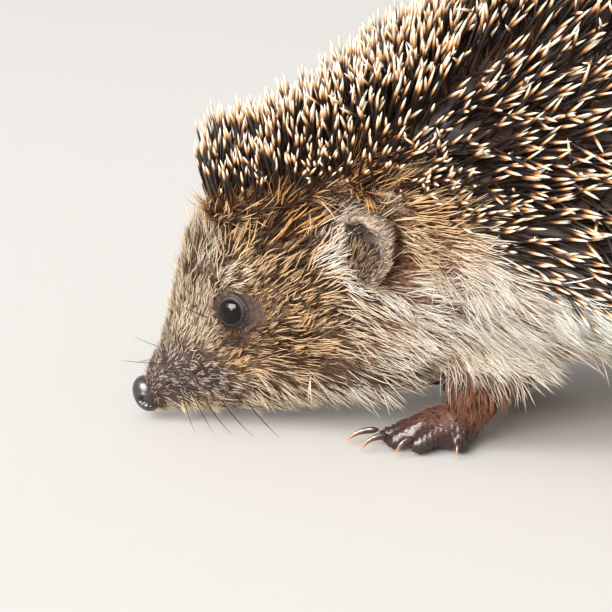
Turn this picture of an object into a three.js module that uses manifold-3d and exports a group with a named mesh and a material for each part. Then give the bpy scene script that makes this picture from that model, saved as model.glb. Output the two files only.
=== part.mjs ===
// A European hedgehog, life size, standing with its head low and its nose just off the ground.
//
// Millimetres, +Z up. The animal faces -Y, its left side is +X, and the ground is Z = 0.
// Every shape is first placed with the nose tip at Y = 0 and then the whole animal slides along,
// so that the origin lies on the ground under the middle of its box.
//
// The solids are the outline of the living animal with its coat on: the tips of the spines on the
// back, the tips of the fur on the face, flanks and legs.

import * as THREE from "three";
import { mergeVertices } from "three/addons/utils/BufferGeometryUtils.js";
import Module from "manifold-3d";

const wasm = await Module();
wasm.setup();

// ---------------------------------------------------------------- driving dimensions

const GAP = 0.36; // between two parts that meet
const BIG = 400; // a block larger than the animal, for halving solids

// The outline of the coat in the middle plane. At each station the top of the body is at `top` and
// its underside at `bottom`, both as [distance behind the nose tip, height]. `half` is the half
// width, `level` the share of the height at which it is widest, and `square` its fullness (2 is
// round). `caps` are how far the two rounded ends bulge past the first and last station, and
// `shares` the part of the rings spent on each.
const FACE = {
  stations: [
    { top: [3.2, 10.6], bottom: [6.4, 2.5], half: 3.8, level: 0.45, square: 2.0 }, // behind the pad
    { top: [6.4, 19.4], bottom: [16.0, 2.6], half: 7.0, level: 0.42, square: 2.1 }, // whiskers
    { top: [9.4, 31.0], bottom: [27.0, 3.1], half: 11.4, level: 0.4, square: 2.1 }, // below the eyes
    { top: [13.4, 44.0], bottom: [38.0, 3.6], half: 16.6, level: 0.45, square: 2.1 }, // brow
    { top: [21.0, 54.0], bottom: [49.0, 5.0], half: 21.5, level: 0.5, square: 2.1 }, // cheeks
    { top: [34.0, 61.0], bottom: [62.0, 8.5], half: 25.5, level: 0.5, square: 2.1 }, // ears
    { top: [50.0, 66.0], bottom: [74.0, 13.5], half: 32.0, level: 0.5, square: 2.1 }, // neck
  ],
  caps: [1.4, 8],
  shares: [0.08, 0.08],
  segments: 24,
  rings: 22,
};
const MANTLE = {
  stations: [
    { top: [15.0, 65.0], bottom: [17.0, 45.0], half: 12.0, level: 0.5, square: 2.0 }, // front spines
    { top: [23.0, 66.4], bottom: [31.0, 49.0], half: 21.5, level: 0.5, square: 2.1 }, // crown
    { top: [34.5, 72.0], bottom: [47.0, 55.0], half: 27.5, level: 0.45, square: 2.1 }, // over the ears
    { top: [49.0, 83.0], bottom: [70.0, 15.0], half: 36.0, level: 0.48, square: 2.2 }, // nape
    { top: [66.0, 98.0], bottom: [85.0, 13.0], half: 48.5, level: 0.45, square: 2.2 }, // shoulders
    { top: [102.0, 113.0], bottom: [108.0, 14.5], half: 60.0, level: 0.4, square: 2.25 }, // back
    { top: [140.0, 113.0], bottom: [141.0, 15.5], half: 62.5, level: 0.4, square: 2.25 }, // loin
    { top: [171.0, 101.0], bottom: [168.0, 17.0], half: 56.5, level: 0.4, square: 2.2 }, // rump
    { top: [192.0, 83.0], bottom: [186.0, 21.5], half: 46.0, level: 0.42, square: 2.1 }, // haunches
    { top: [204.5, 66.0], bottom: [201.0, 29.5], half: 30.0, level: 0.46, square: 2.0 }, // over the tail
    { top: [208.8, 55.0], bottom: [208.2, 39.0], half: 14.0, level: 0.5, square: 2.0 }, // hindmost
  ],
  caps: [2.0, 1.6],
  shares: [0.07, 0.06],
  segments: 30,
  rings: 30,
};

// The planes that part the head, neck and trunk, as a point in the middle plane and a lean from
// upright, in degrees: the top of the plane leans towards the nose.
const NAPE_PLANE = { y: 51, z: 40, lean: 30 };
const SHOULDER_PLANE = { y: 68, z: 45, lean: 24 };

const MOUTH = { front: [1.0, 3.4], corner: [21.0, 5.9] }; // the line of the lips
const NOSE = { y: 3.1, z: 5.9, length: 5.9, height: 8.0, width: 6.8, tilt: 20 };
// Each nostril opens at `mouth`, runs inwards to `deep` and has a slit back to `slit`.
const NOSTRIL = {
  mouth: [2.6, 1.2, 5.0],
  deep: [1.3, 3.9, 5.6],
  slit: [3.5, 3.5, 4.0],
  radii: [0.95, 0.6],
  slitRadii: [0.66, 0.45],
};
const EYE = { x: 12.65, y: 22.0, z: 27.2, radius: 3.05 };
const EAR = {
  centre: [28.2, 48.4, 44.4], // of the left ear
  height: 18,
  width: 14.4,
  thick: 2.2,
  cup: 3.4, // how far the rim curls forward of the middle
  facing: [0.84, -0.53, 0.05], // the way the hollow looks
  tip: [0.22, 0.33, 0.92], // the way the long axis points
};
const TAIL = { root: [196, 31], tip: [211, 14], rootRadius: 4.6, tipRadius: 2.2 };

// Limbs. Left is +X. `knuckles`, `pads` and `radii` run from the inner toe to the outer one, and
// radii are those at the knuckle and at the pad. The claws are `clawReach` long over the ground.
// `step` is how far each foot stands behind the place that the numbers give.
const FORE = {
  shoulder: [25, 82, 36],
  wrist: [20.4, 69.4, 8.4],
  shoulderRadius: 10.5,
  wristRadius: 6.2,
  palm: [19.4, 65.2, 4.1],
  palmSize: [6.4, 7.2, 4.8],
  knuckles: [[14.2, 64, 3.9], [17.4, 60.2, 4.7], [21, 60.2, 4.9], [23.4, 63.8, 4.6], [21.8, 68.6, 4.0]],
  pads: [[12.4, 60, 1.9], [18, 53.4, 2.1], [22.4, 55, 2.2], [25.4, 59.8, 2.4], [24.6, 68, 2.1]],
  radii: [[2.1, 1.8], [2.3, 2.0], [2.5, 2.2], [2.7, 2.4], [2.4, 2.1]],
  clawReach: [4.0, 6.8, 5.4, 3.4, 3.0],
  step: { left: 0, right: 15 },
};
const HIND = {
  shoulder: [33, 158, 42],
  wrist: [29, 181, 8.0],
  shoulderRadius: 15.5,
  wristRadius: 5.6,
  palm: [29.0, 173, 3.8],
  palmSize: [6.2, 12.5, 4.3],
  knuckles: [[24.2, 166, 3.4], [26.4, 162.2, 4.2], [29.6, 161.4, 4.3], [32.4, 163, 4.1], [34, 167.4, 3.5]],
  pads: [[22.4, 160.5, 1.7], [25.6, 154, 2], [29.6, 152.4, 2.1], [33.6, 155, 2], [36.6, 161.8, 1.7]],
  radii: [[2.0, 1.7], [2.3, 1.9], [2.3, 2.0], [2.3, 1.9], [2.0, 1.7]],
  clawReach: [3.6, 6.0, 6.2, 5.0, 3.4],
  step: { left: 0, right: -11 },
};
const CLAW = { radius: 1.05, taper: 0.62, rise: 0.7, turn: 0.82, tipHeight: 0.25 };

const ANKLE_CLEAR = 2.5; // the legs end this far above the ground, inside the feet

const SIDES = { left: 1, right: -1 };

// ---------------------------------------------------------------- solids

// A closed geometry as a manifold solid, facing out.
function solid(geometry) {
  const bare = geometry.index ? geometry.toNonIndexed() : geometry.clone();
  bare.deleteAttribute("normal");
  bare.deleteAttribute("uv");
  const merged = mergeVertices(bare, 1e-4);
  const triVerts = new Uint32Array(merged.index.array);
  const make = () =>
    new wasm.Manifold(
      new wasm.Mesh({ numProp: 3, vertProperties: merged.attributes.position.array, triVerts }),
    );
  const made = make();
  if (made.volume() > 0) return made;
  for (let i = 0; i < triVerts.length; i += 3) {
    [triVerts[i + 1], triVerts[i + 2]] = [triVerts[i + 2], triVerts[i + 1]];
  }
  return make();
}

// The vertices and triangles of a manifold solid as a three.js geometry.
function geometryOf(made) {
  const mesh = made.getMesh();
  const geometry = new THREE.BufferGeometry();
  const places = new Float32Array(mesh.numVert * 3);
  for (let i = 0; i < mesh.numVert; i++) {
    places.set(mesh.vertProperties.subarray(i * mesh.numProp, i * mesh.numProp + 3), i * 3);
  }
  geometry.setAttribute("position", new THREE.BufferAttribute(places, 3));
  geometry.setIndex(new THREE.BufferAttribute(new Uint32Array(mesh.triVerts), 1));
  geometry.computeVertexNormals();
  return geometry;
}

// A sphere's net of vertices laid over section(share along, angle around), both ends closed.
function loft(section, segments, rings) {
  const geometry = new THREE.SphereGeometry(1, segments, rings);
  const uv = geometry.getAttribute("uv");
  const position = geometry.getAttribute("position");
  for (let i = 0; i < position.count; i++) {
    const p = section(1 - uv.getY(i), 2 * Math.PI * (uv.getX(i) % 1));
    position.setXYZ(i, p.x, p.y, p.z);
  }
  return solid(geometry);
}

// A rounded rod from a to b whose radius runs from ra to rb.
function taper(a, b, ra, rb, segments = 12, rings = 8) {
  const from = new THREE.Vector3(...a);
  const to = new THREE.Vector3(...b);
  const along = to.clone().sub(from).normalize();
  const side = new THREE.Vector3(-along.y, along.x, 0).normalize();
  const up = new THREE.Vector3().crossVectors(along, side);
  return loft(
    (t, angle) => {
      const polar = Math.PI * t;
      const [centre, radius] = t <= 0.5 ? [from, ra] : [to, rb];
      return centre
        .clone()
        .addScaledVector(along, -radius * Math.cos(polar))
        .addScaledVector(side, radius * Math.sin(polar) * Math.cos(angle))
        .addScaledVector(up, radius * Math.sin(polar) * Math.sin(angle));
    },
    segments,
    rings,
  );
}

function ellipsoid(centre, size, segments = 16, rings = 12) {
  const geometry = new THREE.SphereGeometry(1, segments, rings);
  geometry.scale(...size).translate(...centre);
  return solid(geometry);
}

// Everything on the far side of an upright plane that leans towards the nose.
function behind(plane, shift = 0) {
  const geometry = new THREE.BoxGeometry(BIG, BIG, BIG);
  geometry.translate(0, BIG / 2 + shift, 0);
  geometry.rotateX(THREE.MathUtils.degToRad(plane.lean));
  geometry.translate(0, plane.y, plane.z);
  return solid(geometry);
}

// Everything below a height.
function under(height) {
  return solid(new THREE.BoxGeometry(BIG, 2 * BIG, BIG).translate(0, 0, height - BIG / 2));
}

// ---------------------------------------------------------------- the coated body

const signedPower = (value, power) => Math.sign(value) * Math.abs(value) ** power;

// One of the two bodies that make up the outline of the coat, grown outwards by `grow`.
function coated({ stations, caps, shares, segments, rings }, grow = 0) {
  const curve = (pick) =>
    new THREE.CatmullRomCurve3(
      stations.map((station) => new THREE.Vector3(...pick(station))),
      false,
      "catmullrom",
      0.5,
    );
  const topLine = curve((s) => [0, ...s.top]);
  const bottomLine = curve((s) => [0, ...s.bottom]);
  const fullness = curve((s) => [s.half, s.level, s.square]);
  return loft(
    (t, angle) => {
      const u = THREE.MathUtils.clamp((t - shares[0]) / (1 - shares[0] - shares[1]), 0, 1);
      const top = topLine.getPoint(u);
      const bottom = bottomLine.getPoint(u);
      const { x: half, y: level, z: square } = fullness.getPoint(u);
      const upward = top.clone().sub(bottom);
      const height = upward.length() + 2 * grow;
      upward.normalize();
      const forward = new THREE.Vector3(0, -upward.z, upward.y);
      const centre = bottom.clone().addScaledVector(upward, level * height - grow);
      let size = 1;
      let bulge = 0;
      if (t < shares[0]) {
        const turn = (Math.PI / 2) * (t / shares[0]);
        size = Math.sin(turn);
        bulge = (caps[0] + grow) * Math.cos(turn);
      } else if (t > 1 - shares[1]) {
        const turn = (Math.PI / 2) * ((1 - t) / shares[1]);
        size = Math.max(Math.sin(turn), 0);
        bulge = -(caps[1] + grow) * Math.cos(turn);
      }
      const sideways = signedPower(Math.cos(angle), 2 / square);
      const lift = signedPower(Math.sin(angle), 2 / square);
      const reach = lift > 0 ? (1 - level) * height : level * height;
      return centre
        .addScaledVector(forward, bulge)
        .addScaledVector(upward, size * reach * lift)
        .add(new THREE.Vector3(size * (half + grow) * sideways, 0, 0));
    },
    segments,
    rings,
  );
}

const wholeBody = (grow = 0) => coated(FACE, grow).add(coated(MANTLE, grow));

// ---------------------------------------------------------------- head parts

function nosePad(grow = 0) {
  const { length, height, width, tilt } = NOSE;
  const geometry = new THREE.SphereGeometry(1, 12, 8);
  geometry.scale(width / 2 + grow, length / 2 + grow, height / 2 + grow);
  geometry.rotateX(THREE.MathUtils.degToRad(-tilt));
  geometry.translate(0, NOSE.y, NOSE.z);
  return solid(geometry);
}

function nostril(side) {
  const [mouth, deep, slit] = [NOSTRIL.mouth, NOSTRIL.deep, NOSTRIL.slit].map(
    ([x, y, z]) => [side * x, y, z],
  );
  return taper(mouth, deep, ...NOSTRIL.radii, 6, 4).add(taper(mouth, slit, ...NOSTRIL.slitRadii, 6, 4));
}

// The block below the line of the lips and before the corner of the mouth.
function belowLips(grow = 0) {
  const [frontY, frontZ] = MOUTH.front;
  const [cornerY, cornerZ] = MOUTH.corner;
  const geometry = new THREE.BoxGeometry(BIG, BIG, BIG);
  geometry.translate(0, grow - BIG / 2, grow - BIG / 2);
  geometry.rotateX(Math.atan2(cornerZ - frontZ, cornerY - frontY));
  geometry.translate(0, cornerY, cornerZ);
  return solid(geometry);
}

function eyeball(side, grow = 0) {
  const { x, y, z, radius } = EYE;
  return ellipsoid([side * x, y, z], Array(3).fill(radius + grow), 12, 10);
}

// A leaf with a rounded tip, thick enough for its fur, cupped round its long axis.
function ear(side) {
  const { centre, height, width, thick, cup } = EAR;
  const geometry = new THREE.SphereGeometry(1, 16, 10);
  const position = geometry.getAttribute("position");
  for (let i = 0; i < position.count; i++) {
    const across = position.getX(i);
    const up = position.getY(i);
    const fromMiddle = across * across + 0.5 * Math.max(up, 0) ** 2;
    position.setXYZ(
      i,
      (across * (0.92 + 0.08 * up) * width) / 2,
      (up * height) / 2,
      (position.getZ(i) * thick) / 2 + cup * (fromMiddle - 0.5),
    );
  }
  const facing = new THREE.Vector3(...EAR.facing).normalize();
  const tip = new THREE.Vector3(...EAR.tip).projectOnPlane(facing).normalize();
  const across = new THREE.Vector3().crossVectors(tip, facing);
  geometry.applyMatrix4(new THREE.Matrix4().makeBasis(across, tip, facing));
  geometry.translate(...centre);
  if (side < 0) geometry.scale(-1, 1, 1);
  return solid(geometry);
}

// ---------------------------------------------------------------- limbs

// The points of a limb on one side of the body, moved back by its step.
const placed = (point, side, step) => [side * point[0], point[1] + step, point[2]];

function leg(limb, side, step, grow = 0) {
  const at = (point) => placed(point, side, step);
  return taper(
    at(limb.shoulder),
    at(limb.wrist),
    limb.shoulderRadius + grow,
    limb.wristRadius + grow,
    12,
    6,
  );
}

function foot(limb, side, step, grow = 0) {
  const at = (point) => placed(point, side, step);
  const palm = ellipsoid(
    at(limb.palm),
    limb.palmSize.map((half) => half + grow),
    10,
    6,
  );
  const toes = limb.knuckles.map((knuckle, toe) => {
    const [atKnuckle, atPad] = limb.radii[toe];
    return taper(at(knuckle), at(limb.pads[toe]), atKnuckle + grow, atPad + grow, 6, 5);
  });
  return wasm.Manifold.union([palm, ...toes]);
}

// A curved horn that leaves the toe above its pad, runs out level and turns down to the ground.
function claw(limb, side, step, toe) {
  const pad = new THREE.Vector3(...placed(limb.pads[toe], side, step));
  const knuckle = new THREE.Vector3(...placed(limb.knuckles[toe], side, step));
  const along = pad.clone().sub(knuckle).setZ(0).normalize();
  const across = new THREE.Vector3(-along.y, along.x, 0);
  const padRadius = limb.radii[toe][1];
  const reach = padRadius + limb.clawReach[toe];
  const start = pad.clone().addScaledVector(along, 0.4 * padRadius);
  start.z += 0.55 * padRadius;
  const turn = pad.clone().addScaledVector(along, CLAW.turn * reach).setZ(start.z + CLAW.rise);
  const tip = pad.clone().addScaledVector(along, reach).setZ(CLAW.tipHeight);
  const curve = new THREE.QuadraticBezierCurve3(start, turn, tip);
  return loft(
    (t, angle) => {
      const centre = curve.getPoint(t);
      const up = new THREE.Vector3().crossVectors(across, curve.getTangent(t));
      const rounded = t < 1 ? Math.sin(Math.PI * t ** 0.5) ** 0.35 : 0;
      const radius = CLAW.radius * (1 - CLAW.taper * t) * rounded;
      return centre
        .addScaledVector(across, 0.8 * radius * Math.cos(angle))
        .addScaledVector(up, radius * Math.sin(angle));
    },
    5,
    6,
  );
}

// ---------------------------------------------------------------- assembly

const FINISHES = {
  spines: { color: 0x4a3a30, roughness: 0.55 },
  fur: { color: 0xb59a82, roughness: 0.9 },
  faceFur: { color: 0x8a6c55, roughness: 0.9 },
  legFur: { color: 0x7d5a47, roughness: 0.85 },
  skin: { color: 0x5b4438, roughness: 0.7 },
  ear: { color: 0x9c8777, roughness: 0.8 },
  nose: { color: 0x1d1a1c, roughness: 0.3 },
  eye: { color: 0x0b0808, roughness: 0.05 },
  horn: { color: 0x8a6247, roughness: 0.4 },
};

const hedgehog = new THREE.Group();

function addPart(name, made, finish) {
  const material = new THREE.MeshStandardMaterial({ ...FINISHES[finish], metalness: 0 });
  const mesh = new THREE.Mesh(geometryOf(made), material);
  mesh.name = name;
  hedgehog.add(mesh);
}

const body = wholeBody();
const coatWithGap = wholeBody(GAP);

const headWhole = body
  .subtract(behind(NAPE_PLANE))
  .subtract(nosePad(GAP))
  .subtract(eyeball(SIDES.left, GAP))
  .subtract(eyeball(SIDES.right, GAP));
addPart("head", headWhole.subtract(belowLips(GAP)), "faceFur");
addPart("jaw", headWhole.intersect(belowLips()), "faceFur");

const neck = body.intersect(behind(NAPE_PLANE, GAP)).subtract(behind(SHOULDER_PLANE));
addPart("neck", neck, "spines");

const trunk = body.intersect(behind(SHOULDER_PLANE, GAP));
addPart("trunk", trunk, "spines");

const tail = taper([0, ...TAIL.root], [0, ...TAIL.tip], TAIL.rootRadius, TAIL.tipRadius);
addPart("tail", tail.subtract(coatWithGap), "skin");

const nose = nosePad().subtract(nostril(SIDES.left)).subtract(nostril(SIDES.right));
addPart("nose", nose, "nose");

for (const [sideName, side] of Object.entries(SIDES)) {
  addPart(`eye_${sideName}`, eyeball(side), "eye");
  addPart(`ear_${sideName}`, ear(side).subtract(coatWithGap), "ear");
  for (const [limbName, limb] of Object.entries({ fore: FORE, hind: HIND })) {
    const step = limb.step[sideName];
    const footWithGap = foot(limb, side, step, GAP);
    const legPart = leg(limb, side, step)
      .subtract(coatWithGap)
      .subtract(footWithGap)
      .subtract(under(ANKLE_CLEAR));
    addPart(`${limbName}leg_${sideName}`, legPart, "legFur");
    const footPart = foot(limb, side, step).subtract(under(0)).subtract(coatWithGap);
    addPart(`${limbName}foot_${sideName}`, footPart, "skin");
    for (const toe of limb.pads.keys()) {
      const bare = claw(limb, side, step, toe).subtract(footWithGap).subtract(under(0));
      addPart(`claw_${limbName}_${sideName}_${toe + 1}`, bare, "horn");
    }
  }
}

// The pads already rest on the ground. The origin goes under the middle of the animal's box.
const middle = new THREE.Box3().setFromObject(hedgehog).getCenter(new THREE.Vector3());
hedgehog.position.set(-middle.x, -middle.y, 0);

export default hedgehog;
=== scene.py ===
"""A European hedgehog, life size: its skin, eyes, nose, claws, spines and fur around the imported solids.

Metres. The animal faces -Y, its left side is +X, the floor is Z = 0. Places on the animal are
written in millimetres as (out from the middle plane, back from the nose tip, up from the floor),
and hold for both sides.
"""

import itertools
import math

import bmesh
import bpy
import numpy as np
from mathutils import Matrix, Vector
from mathutils.kdtree import KDTree


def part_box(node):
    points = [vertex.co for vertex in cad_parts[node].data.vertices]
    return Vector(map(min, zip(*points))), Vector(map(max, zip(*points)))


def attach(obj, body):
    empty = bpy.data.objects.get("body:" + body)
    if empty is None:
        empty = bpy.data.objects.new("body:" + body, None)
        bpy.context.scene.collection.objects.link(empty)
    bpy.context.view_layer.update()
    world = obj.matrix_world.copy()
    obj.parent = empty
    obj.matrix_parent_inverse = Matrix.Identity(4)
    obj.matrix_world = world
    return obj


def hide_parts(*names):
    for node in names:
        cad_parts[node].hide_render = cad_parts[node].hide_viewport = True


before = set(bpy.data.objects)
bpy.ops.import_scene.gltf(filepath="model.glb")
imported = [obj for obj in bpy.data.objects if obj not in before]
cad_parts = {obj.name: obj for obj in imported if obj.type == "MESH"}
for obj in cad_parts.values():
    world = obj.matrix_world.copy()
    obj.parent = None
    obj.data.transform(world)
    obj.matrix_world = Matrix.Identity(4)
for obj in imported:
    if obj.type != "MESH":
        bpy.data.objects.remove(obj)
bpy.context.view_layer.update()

MM = 0.001
SIDES = {"left": 1, "right": -1}
NOSE_TIP_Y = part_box("nose")[0].y
RANDOM = np.random.default_rng(20)


# ---------------------------------------------------------------- arrays

def animal_place(points):
    """World points as (out, back from the nose tip, up) in millimetres, with the sign of the side."""
    points = np.asarray(points, float)
    return np.stack([points[:, 0], points[:, 1] - NOSE_TIP_Y, points[:, 2]], axis=1) / MM


def world_place(place):
    """A place on the animal, in millimetres, as a world point."""
    return Vector((place[0] * MM, place[1] * MM + NOSE_TIP_Y, place[2] * MM))


def mirror_of(side):
    """What turns world directions and places of the left side into those of the given side."""
    return np.array([SIDES[side], 1, 1])


def unit(vectors):
    return vectors / np.maximum(np.linalg.norm(vectors, axis=-1, keepdims=True), 1e-12)


def smoothstep(low, high, values):
    t = np.clip((values - low) / (high - low), 0, 1)
    return t * t * (3 - 2 * t)


def chart(values, rows):
    """Read off a chart of (at, value) rows, with straight lines between them."""
    return np.interp(values, *zip(*rows))


def linear(*srgb):
    """An sRGB colour written 0 to 255, as linear light."""
    s = np.array(srgb, float) / 255
    return np.where(s <= 0.04045, s / 12.92, ((s + 0.055) / 1.055) ** 2.4)


def read(items, field, width, kind=float):
    """A field of the parts of a mesh, a row to each."""
    values = np.empty(len(items) * width, kind)
    items.foreach_get(field, values)
    return values.reshape(-1, width)


def mesh_places(mesh):
    return read(mesh.vertices, "co", 3)


def mesh_edges(mesh):
    return read(mesh.edges, "vertices", 2, int)


def mesh_triangles(mesh):
    mesh.calc_loop_triangles()
    return read(mesh.loop_triangles, "vertices", 3, int)


def set_places(mesh, places):
    mesh.vertices.foreach_set("co", np.ascontiguousarray(places, float).ravel())
    mesh.update()


def vertex_normals(places, triangles):
    a, b, c = (places[triangles[:, i]] for i in range(3))
    faces = np.cross(b - a, c - a)
    total = np.zeros_like(places)
    for corner in range(3):
        for axis in range(3):
            total[:, axis] += np.bincount(triangles[:, corner], faces[:, axis], len(places))
    return unit(total)


def relaxed(values, edges, rounds, share=1.0):
    """Each vertex's value drawn towards the mean of its neighbours', several times."""
    count = len(values)
    neighbours = np.bincount(edges.ravel(), minlength=count)[:, None]
    for _ in range(rounds):
        total = np.empty_like(values)
        for axis in range(values.shape[1]):
            total[:, axis] = np.bincount(edges[:, 0], values[edges[:, 1], axis], count)
            total[:, axis] += np.bincount(edges[:, 1], values[edges[:, 0], axis], count)
        values = values + share * (total / np.maximum(neighbours, 1) - values)
    return values


# ---------------------------------------------------------------- pieces

def new_object(name, data):
    """A new piece, lamp or camera in the scene."""
    piece = bpy.data.objects.new(name, data)
    bpy.context.scene.collection.objects.link(piece)
    return piece


def plain_object(name, bm):
    """A new piece with the mesh that bm holds."""
    mesh = bpy.data.meshes.new(name)
    bm.to_mesh(mesh)
    bm.free()
    return new_object(name, mesh)


def finished(piece, material, replaced=(), smooth=True):
    """Gives a piece its material, and rides it on the body."""
    piece.data.materials.append(material)
    if smooth:
        piece.data.shade_smooth()
    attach(piece, "root")
    if replaced:
        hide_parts(*replaced)
    return piece


def applied(piece):
    """The piece with its modifiers worked into its mesh."""
    bpy.context.view_layer.update()
    made = bpy.data.meshes.new_from_object(piece.evaluated_get(bpy.context.evaluated_depsgraph_get()))
    old = piece.data
    piece.modifiers.clear()
    piece.data = made
    bpy.data.meshes.remove(old)
    return piece


def voxel_remeshed(piece, size):
    """The piece as one closed surface, made anew from voxels of the given size."""
    modifier = piece.modifiers.new("Remesh", "REMESH")
    modifier.mode = "VOXEL"
    modifier.voxel_size = size
    return applied(piece)


# ---------------------------------------------------------------- where the coat is

FEET = [f"{limb}foot_{side}" for limb in ("fore", "hind") for side in SIDES]
LEGS = [f"{limb}leg_{side}" for limb in ("fore", "hind") for side in SIDES]
BODY = ["head", "jaw", "neck", "trunk", "tail"]
EARS = ["ear_left", "ear_right"]

# Where the pieces of the coat meet, in millimetres back from the nose tip.
FACE_END, CROWN_END, NECK_END, FORE_END = 46, 66, 84, 120

# Charts of (back from the nose tip, value), in millimetres. The lower edge of the spines, as a height:
SPINE_EDGE = [(8, 45), (20, 46), (32, 50), (44, 55), (54, 55), (60, 53), (66, 49.5), (71, 45.5),
              (76, 42.5), (82, 40.5), (92, 39), (104, 37), (140, 36), (175, 36), (192, 38), (206, 42),
              (214, 46)]
# The depth of the fur and of the spines over the skin:
FUR_DEPTH = [(0, 0.5), (6, 0.7), (14, 1.0), (24, 1.3), (40, 2.6), (60, 4.5), (90, 6.0)]
SPINES_DEPTH = [(10, 15), (20, 15), (40, 13), (70, 12), (120, 12), (200, 11)]
LEG_DEPTH = 0.5
TAIL_DEPTH = 0.6


def above_spine_edge(place):
    """Height above the lower edge of the spines, in millimetres."""
    return place[:, 2] - chart(place[:, 1], SPINE_EDGE)


# Each leg, on the left side: the middle of its ankle and of its shoulder, its radius at both, and the
# height where the fur of the body starts to hang over it.
LEG_AXES = {
    "fore": ((20.4, 69.4, 8.4), (25.0, 82.0, 36.0), (6.2, 10.5), 15.0),
    "hind": ((29.0, 181.0, 8.0), (33.0, 158.0, 42.0), (5.6, 15.5), 13.0),
}


def limb_share(place):
    """1 on the legs and feet, 0 on the body."""
    share = np.zeros(len(place))
    for limb, (ankle, shoulder, (thin, thick), top) in LEG_AXES.items():
        for side in SIDES:
            low, high = animal_place(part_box(f"{limb}foot_{side}"))
            step = low[1] - animal_place(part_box(f"{limb}foot_left"))[0, 1]
            mirror = mirror_of(side)
            start = np.array(ankle) * mirror + (0, step, 0)
            axis = np.array(shoulder) * mirror + (0, step, 0) - start
            along = np.clip((place - start) @ axis / (axis @ axis), 0, 1)
            away = np.linalg.norm(place - start - along[:, None] * axis, axis=1)
            radius = thin + along * (thick - thin)
            leg = smoothstep(radius + 2.5, radius + 0.5, away)
            leg *= smoothstep(top + 6, top, place[:, 2])
            foot = smoothstep(high[2] + 1.2, high[2] - 0.8, place[:, 2])
            for level in (0, 1):
                foot *= smoothstep(low[level] - 5, low[level] - 2, place[:, level])
                foot *= smoothstep(high[level] + 5, high[level] + 2, place[:, level])
            share = np.maximum(share, np.maximum(leg, foot))
    return share


def coat_depth(place):
    """How far the skin lies inside the tips of the coat, in millimetres."""
    back, up = place[:, 1], place[:, 2]
    fur, spines = chart(back, FUR_DEPTH), chart(back, SPINES_DEPTH)
    depth = fur + (spines - fur) * smoothstep(-1, 9, above_spine_edge(place))
    depth += limb_share(place) * (LEG_DEPTH - depth)
    tail = smoothstep(198, 203, back) * (1 - smoothstep(4.5, 6, np.abs(place[:, 0])))
    tail *= 1 - smoothstep(24, 30, up)
    return depth + tail * (TAIL_DEPTH - depth)


# The skin under the spines of the crown: its height on the middle line, and half its width.
CROWN_RIDGE = [(10, 45.2), (16, 47.8), (22, 50.8), (30, 54.8), (40, 60.5), (50, 68.5), (62, 78)]
CROWN_HALF = [(10, 9), (16, 12), (22, 15.5), (30, 18.5), (40, 22), (50, 27), (62, 36)]
CROWN_FRONT = 17.5


def pressed_crown(place, share):
    """Places brought down, and in, to the skin of the crown by the given share of the way."""
    out, back = np.abs(place[:, 0]), place[:, 1]
    edge = place[:, 2] - above_spine_edge(place)
    width = chart(back, CROWN_HALF)
    rounded = np.sqrt(np.clip(1 - (out / width) ** 2, 0, 1))
    height = edge + np.maximum(0, chart(back, CROWN_RIDGE) - edge) * rounded
    above = np.maximum(0, place[:, 2] - height) * share
    wall = share * smoothstep(-1, 2, above_spine_edge(place))
    beside = np.sign(place[:, 0]) * np.maximum(0, out - width) * wall
    before = np.maximum(0, CROWN_FRONT - back) * wall
    return place + np.column_stack([-beside, before, -above])


# ---------------------------------------------------------------- the skin

def solid_copy(nodes, outward):
    """The given solids as one piece, each moved outwards by the given millimetres."""
    whole = bmesh.new()
    for node in nodes:
        part = bmesh.new()
        part.from_mesh(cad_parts[node].data)
        bmesh.ops.remove_doubles(part, verts=part.verts, dist=0.002 * MM)
        part.normal_update()
        for vertex, normal in [(v, v.normal.copy()) for v in part.verts]:
            vertex.co += normal * outward * MM
        mesh = bpy.data.meshes.new("part")
        part.to_mesh(mesh)
        part.free()
        whole.from_mesh(mesh)
        bpy.data.meshes.remove(mesh)
    return plain_object("flesh", whole)


def sink_to_skin(piece, steps=24):
    """Moves the surface in by the depth of the coat, keeping it even as it shrinks."""
    mesh = piece.data
    edges, triangles = mesh_edges(mesh), mesh_triangles(mesh)
    places = relaxed(mesh_places(mesh), edges, 4, 0.5)
    place = animal_place(places)
    depth = coat_depth(place)
    crown = smoothstep(62, 48, place[:, 1])
    pressed = crown * smoothstep(-2, 0, above_spine_edge(place))
    depth += pressed * (1.0 - depth)
    places += (pressed_crown(place, crown) - place) * MM
    depth = relaxed(depth[:, None], edges, 6) * MM
    under_spines = smoothstep(-2, 6, above_spine_edge(place)) * (1 - 0.7 * crown)
    evenness = 0.08 + 0.5 * relaxed(under_spines[:, None], edges, 4)
    for _ in range(steps):
        normals = unit(relaxed(vertex_normals(places, triangles), edges, 4))
        places = places - normals * depth / steps
        places = relaxed(places, edges, 4, evenness)
    set_places(mesh, places)
    return piece


# ---------------------------------------------------------------- ears

# The leaf of the left ear: its middle, the ways its hollow faces and its tip points, and its size.
EAR = {
    "centre": (28.2, 48.4, 44.2),
    "facing": (0.84, -0.53, 0.05),
    "tip": (0.22, 0.33, 0.92),
    "half_height": 8.9,
    "half_width": 6.9,
    "cup": 3.8,
}


def ear_frame(side):
    """Centre, rearward, tipward and facing directions of an ear, in world terms."""
    mirror = mirror_of(side)
    facing = unit(np.array(EAR["facing"]))
    tip = np.array(EAR["tip"])
    tip = unit(tip - facing * (tip @ facing))
    rearward = np.cross(tip, facing)
    centre = np.array(world_place(EAR["centre"]))
    return centre * mirror, rearward * mirror, tip * mirror, facing * mirror


def ear_place(points, side):
    """World points as (rearward, tipward, facing) from the middle of an ear, in millimetres."""
    centre, *directions = ear_frame(side)
    return (np.asarray(points) - centre) @ np.array(directions).T / MM


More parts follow.
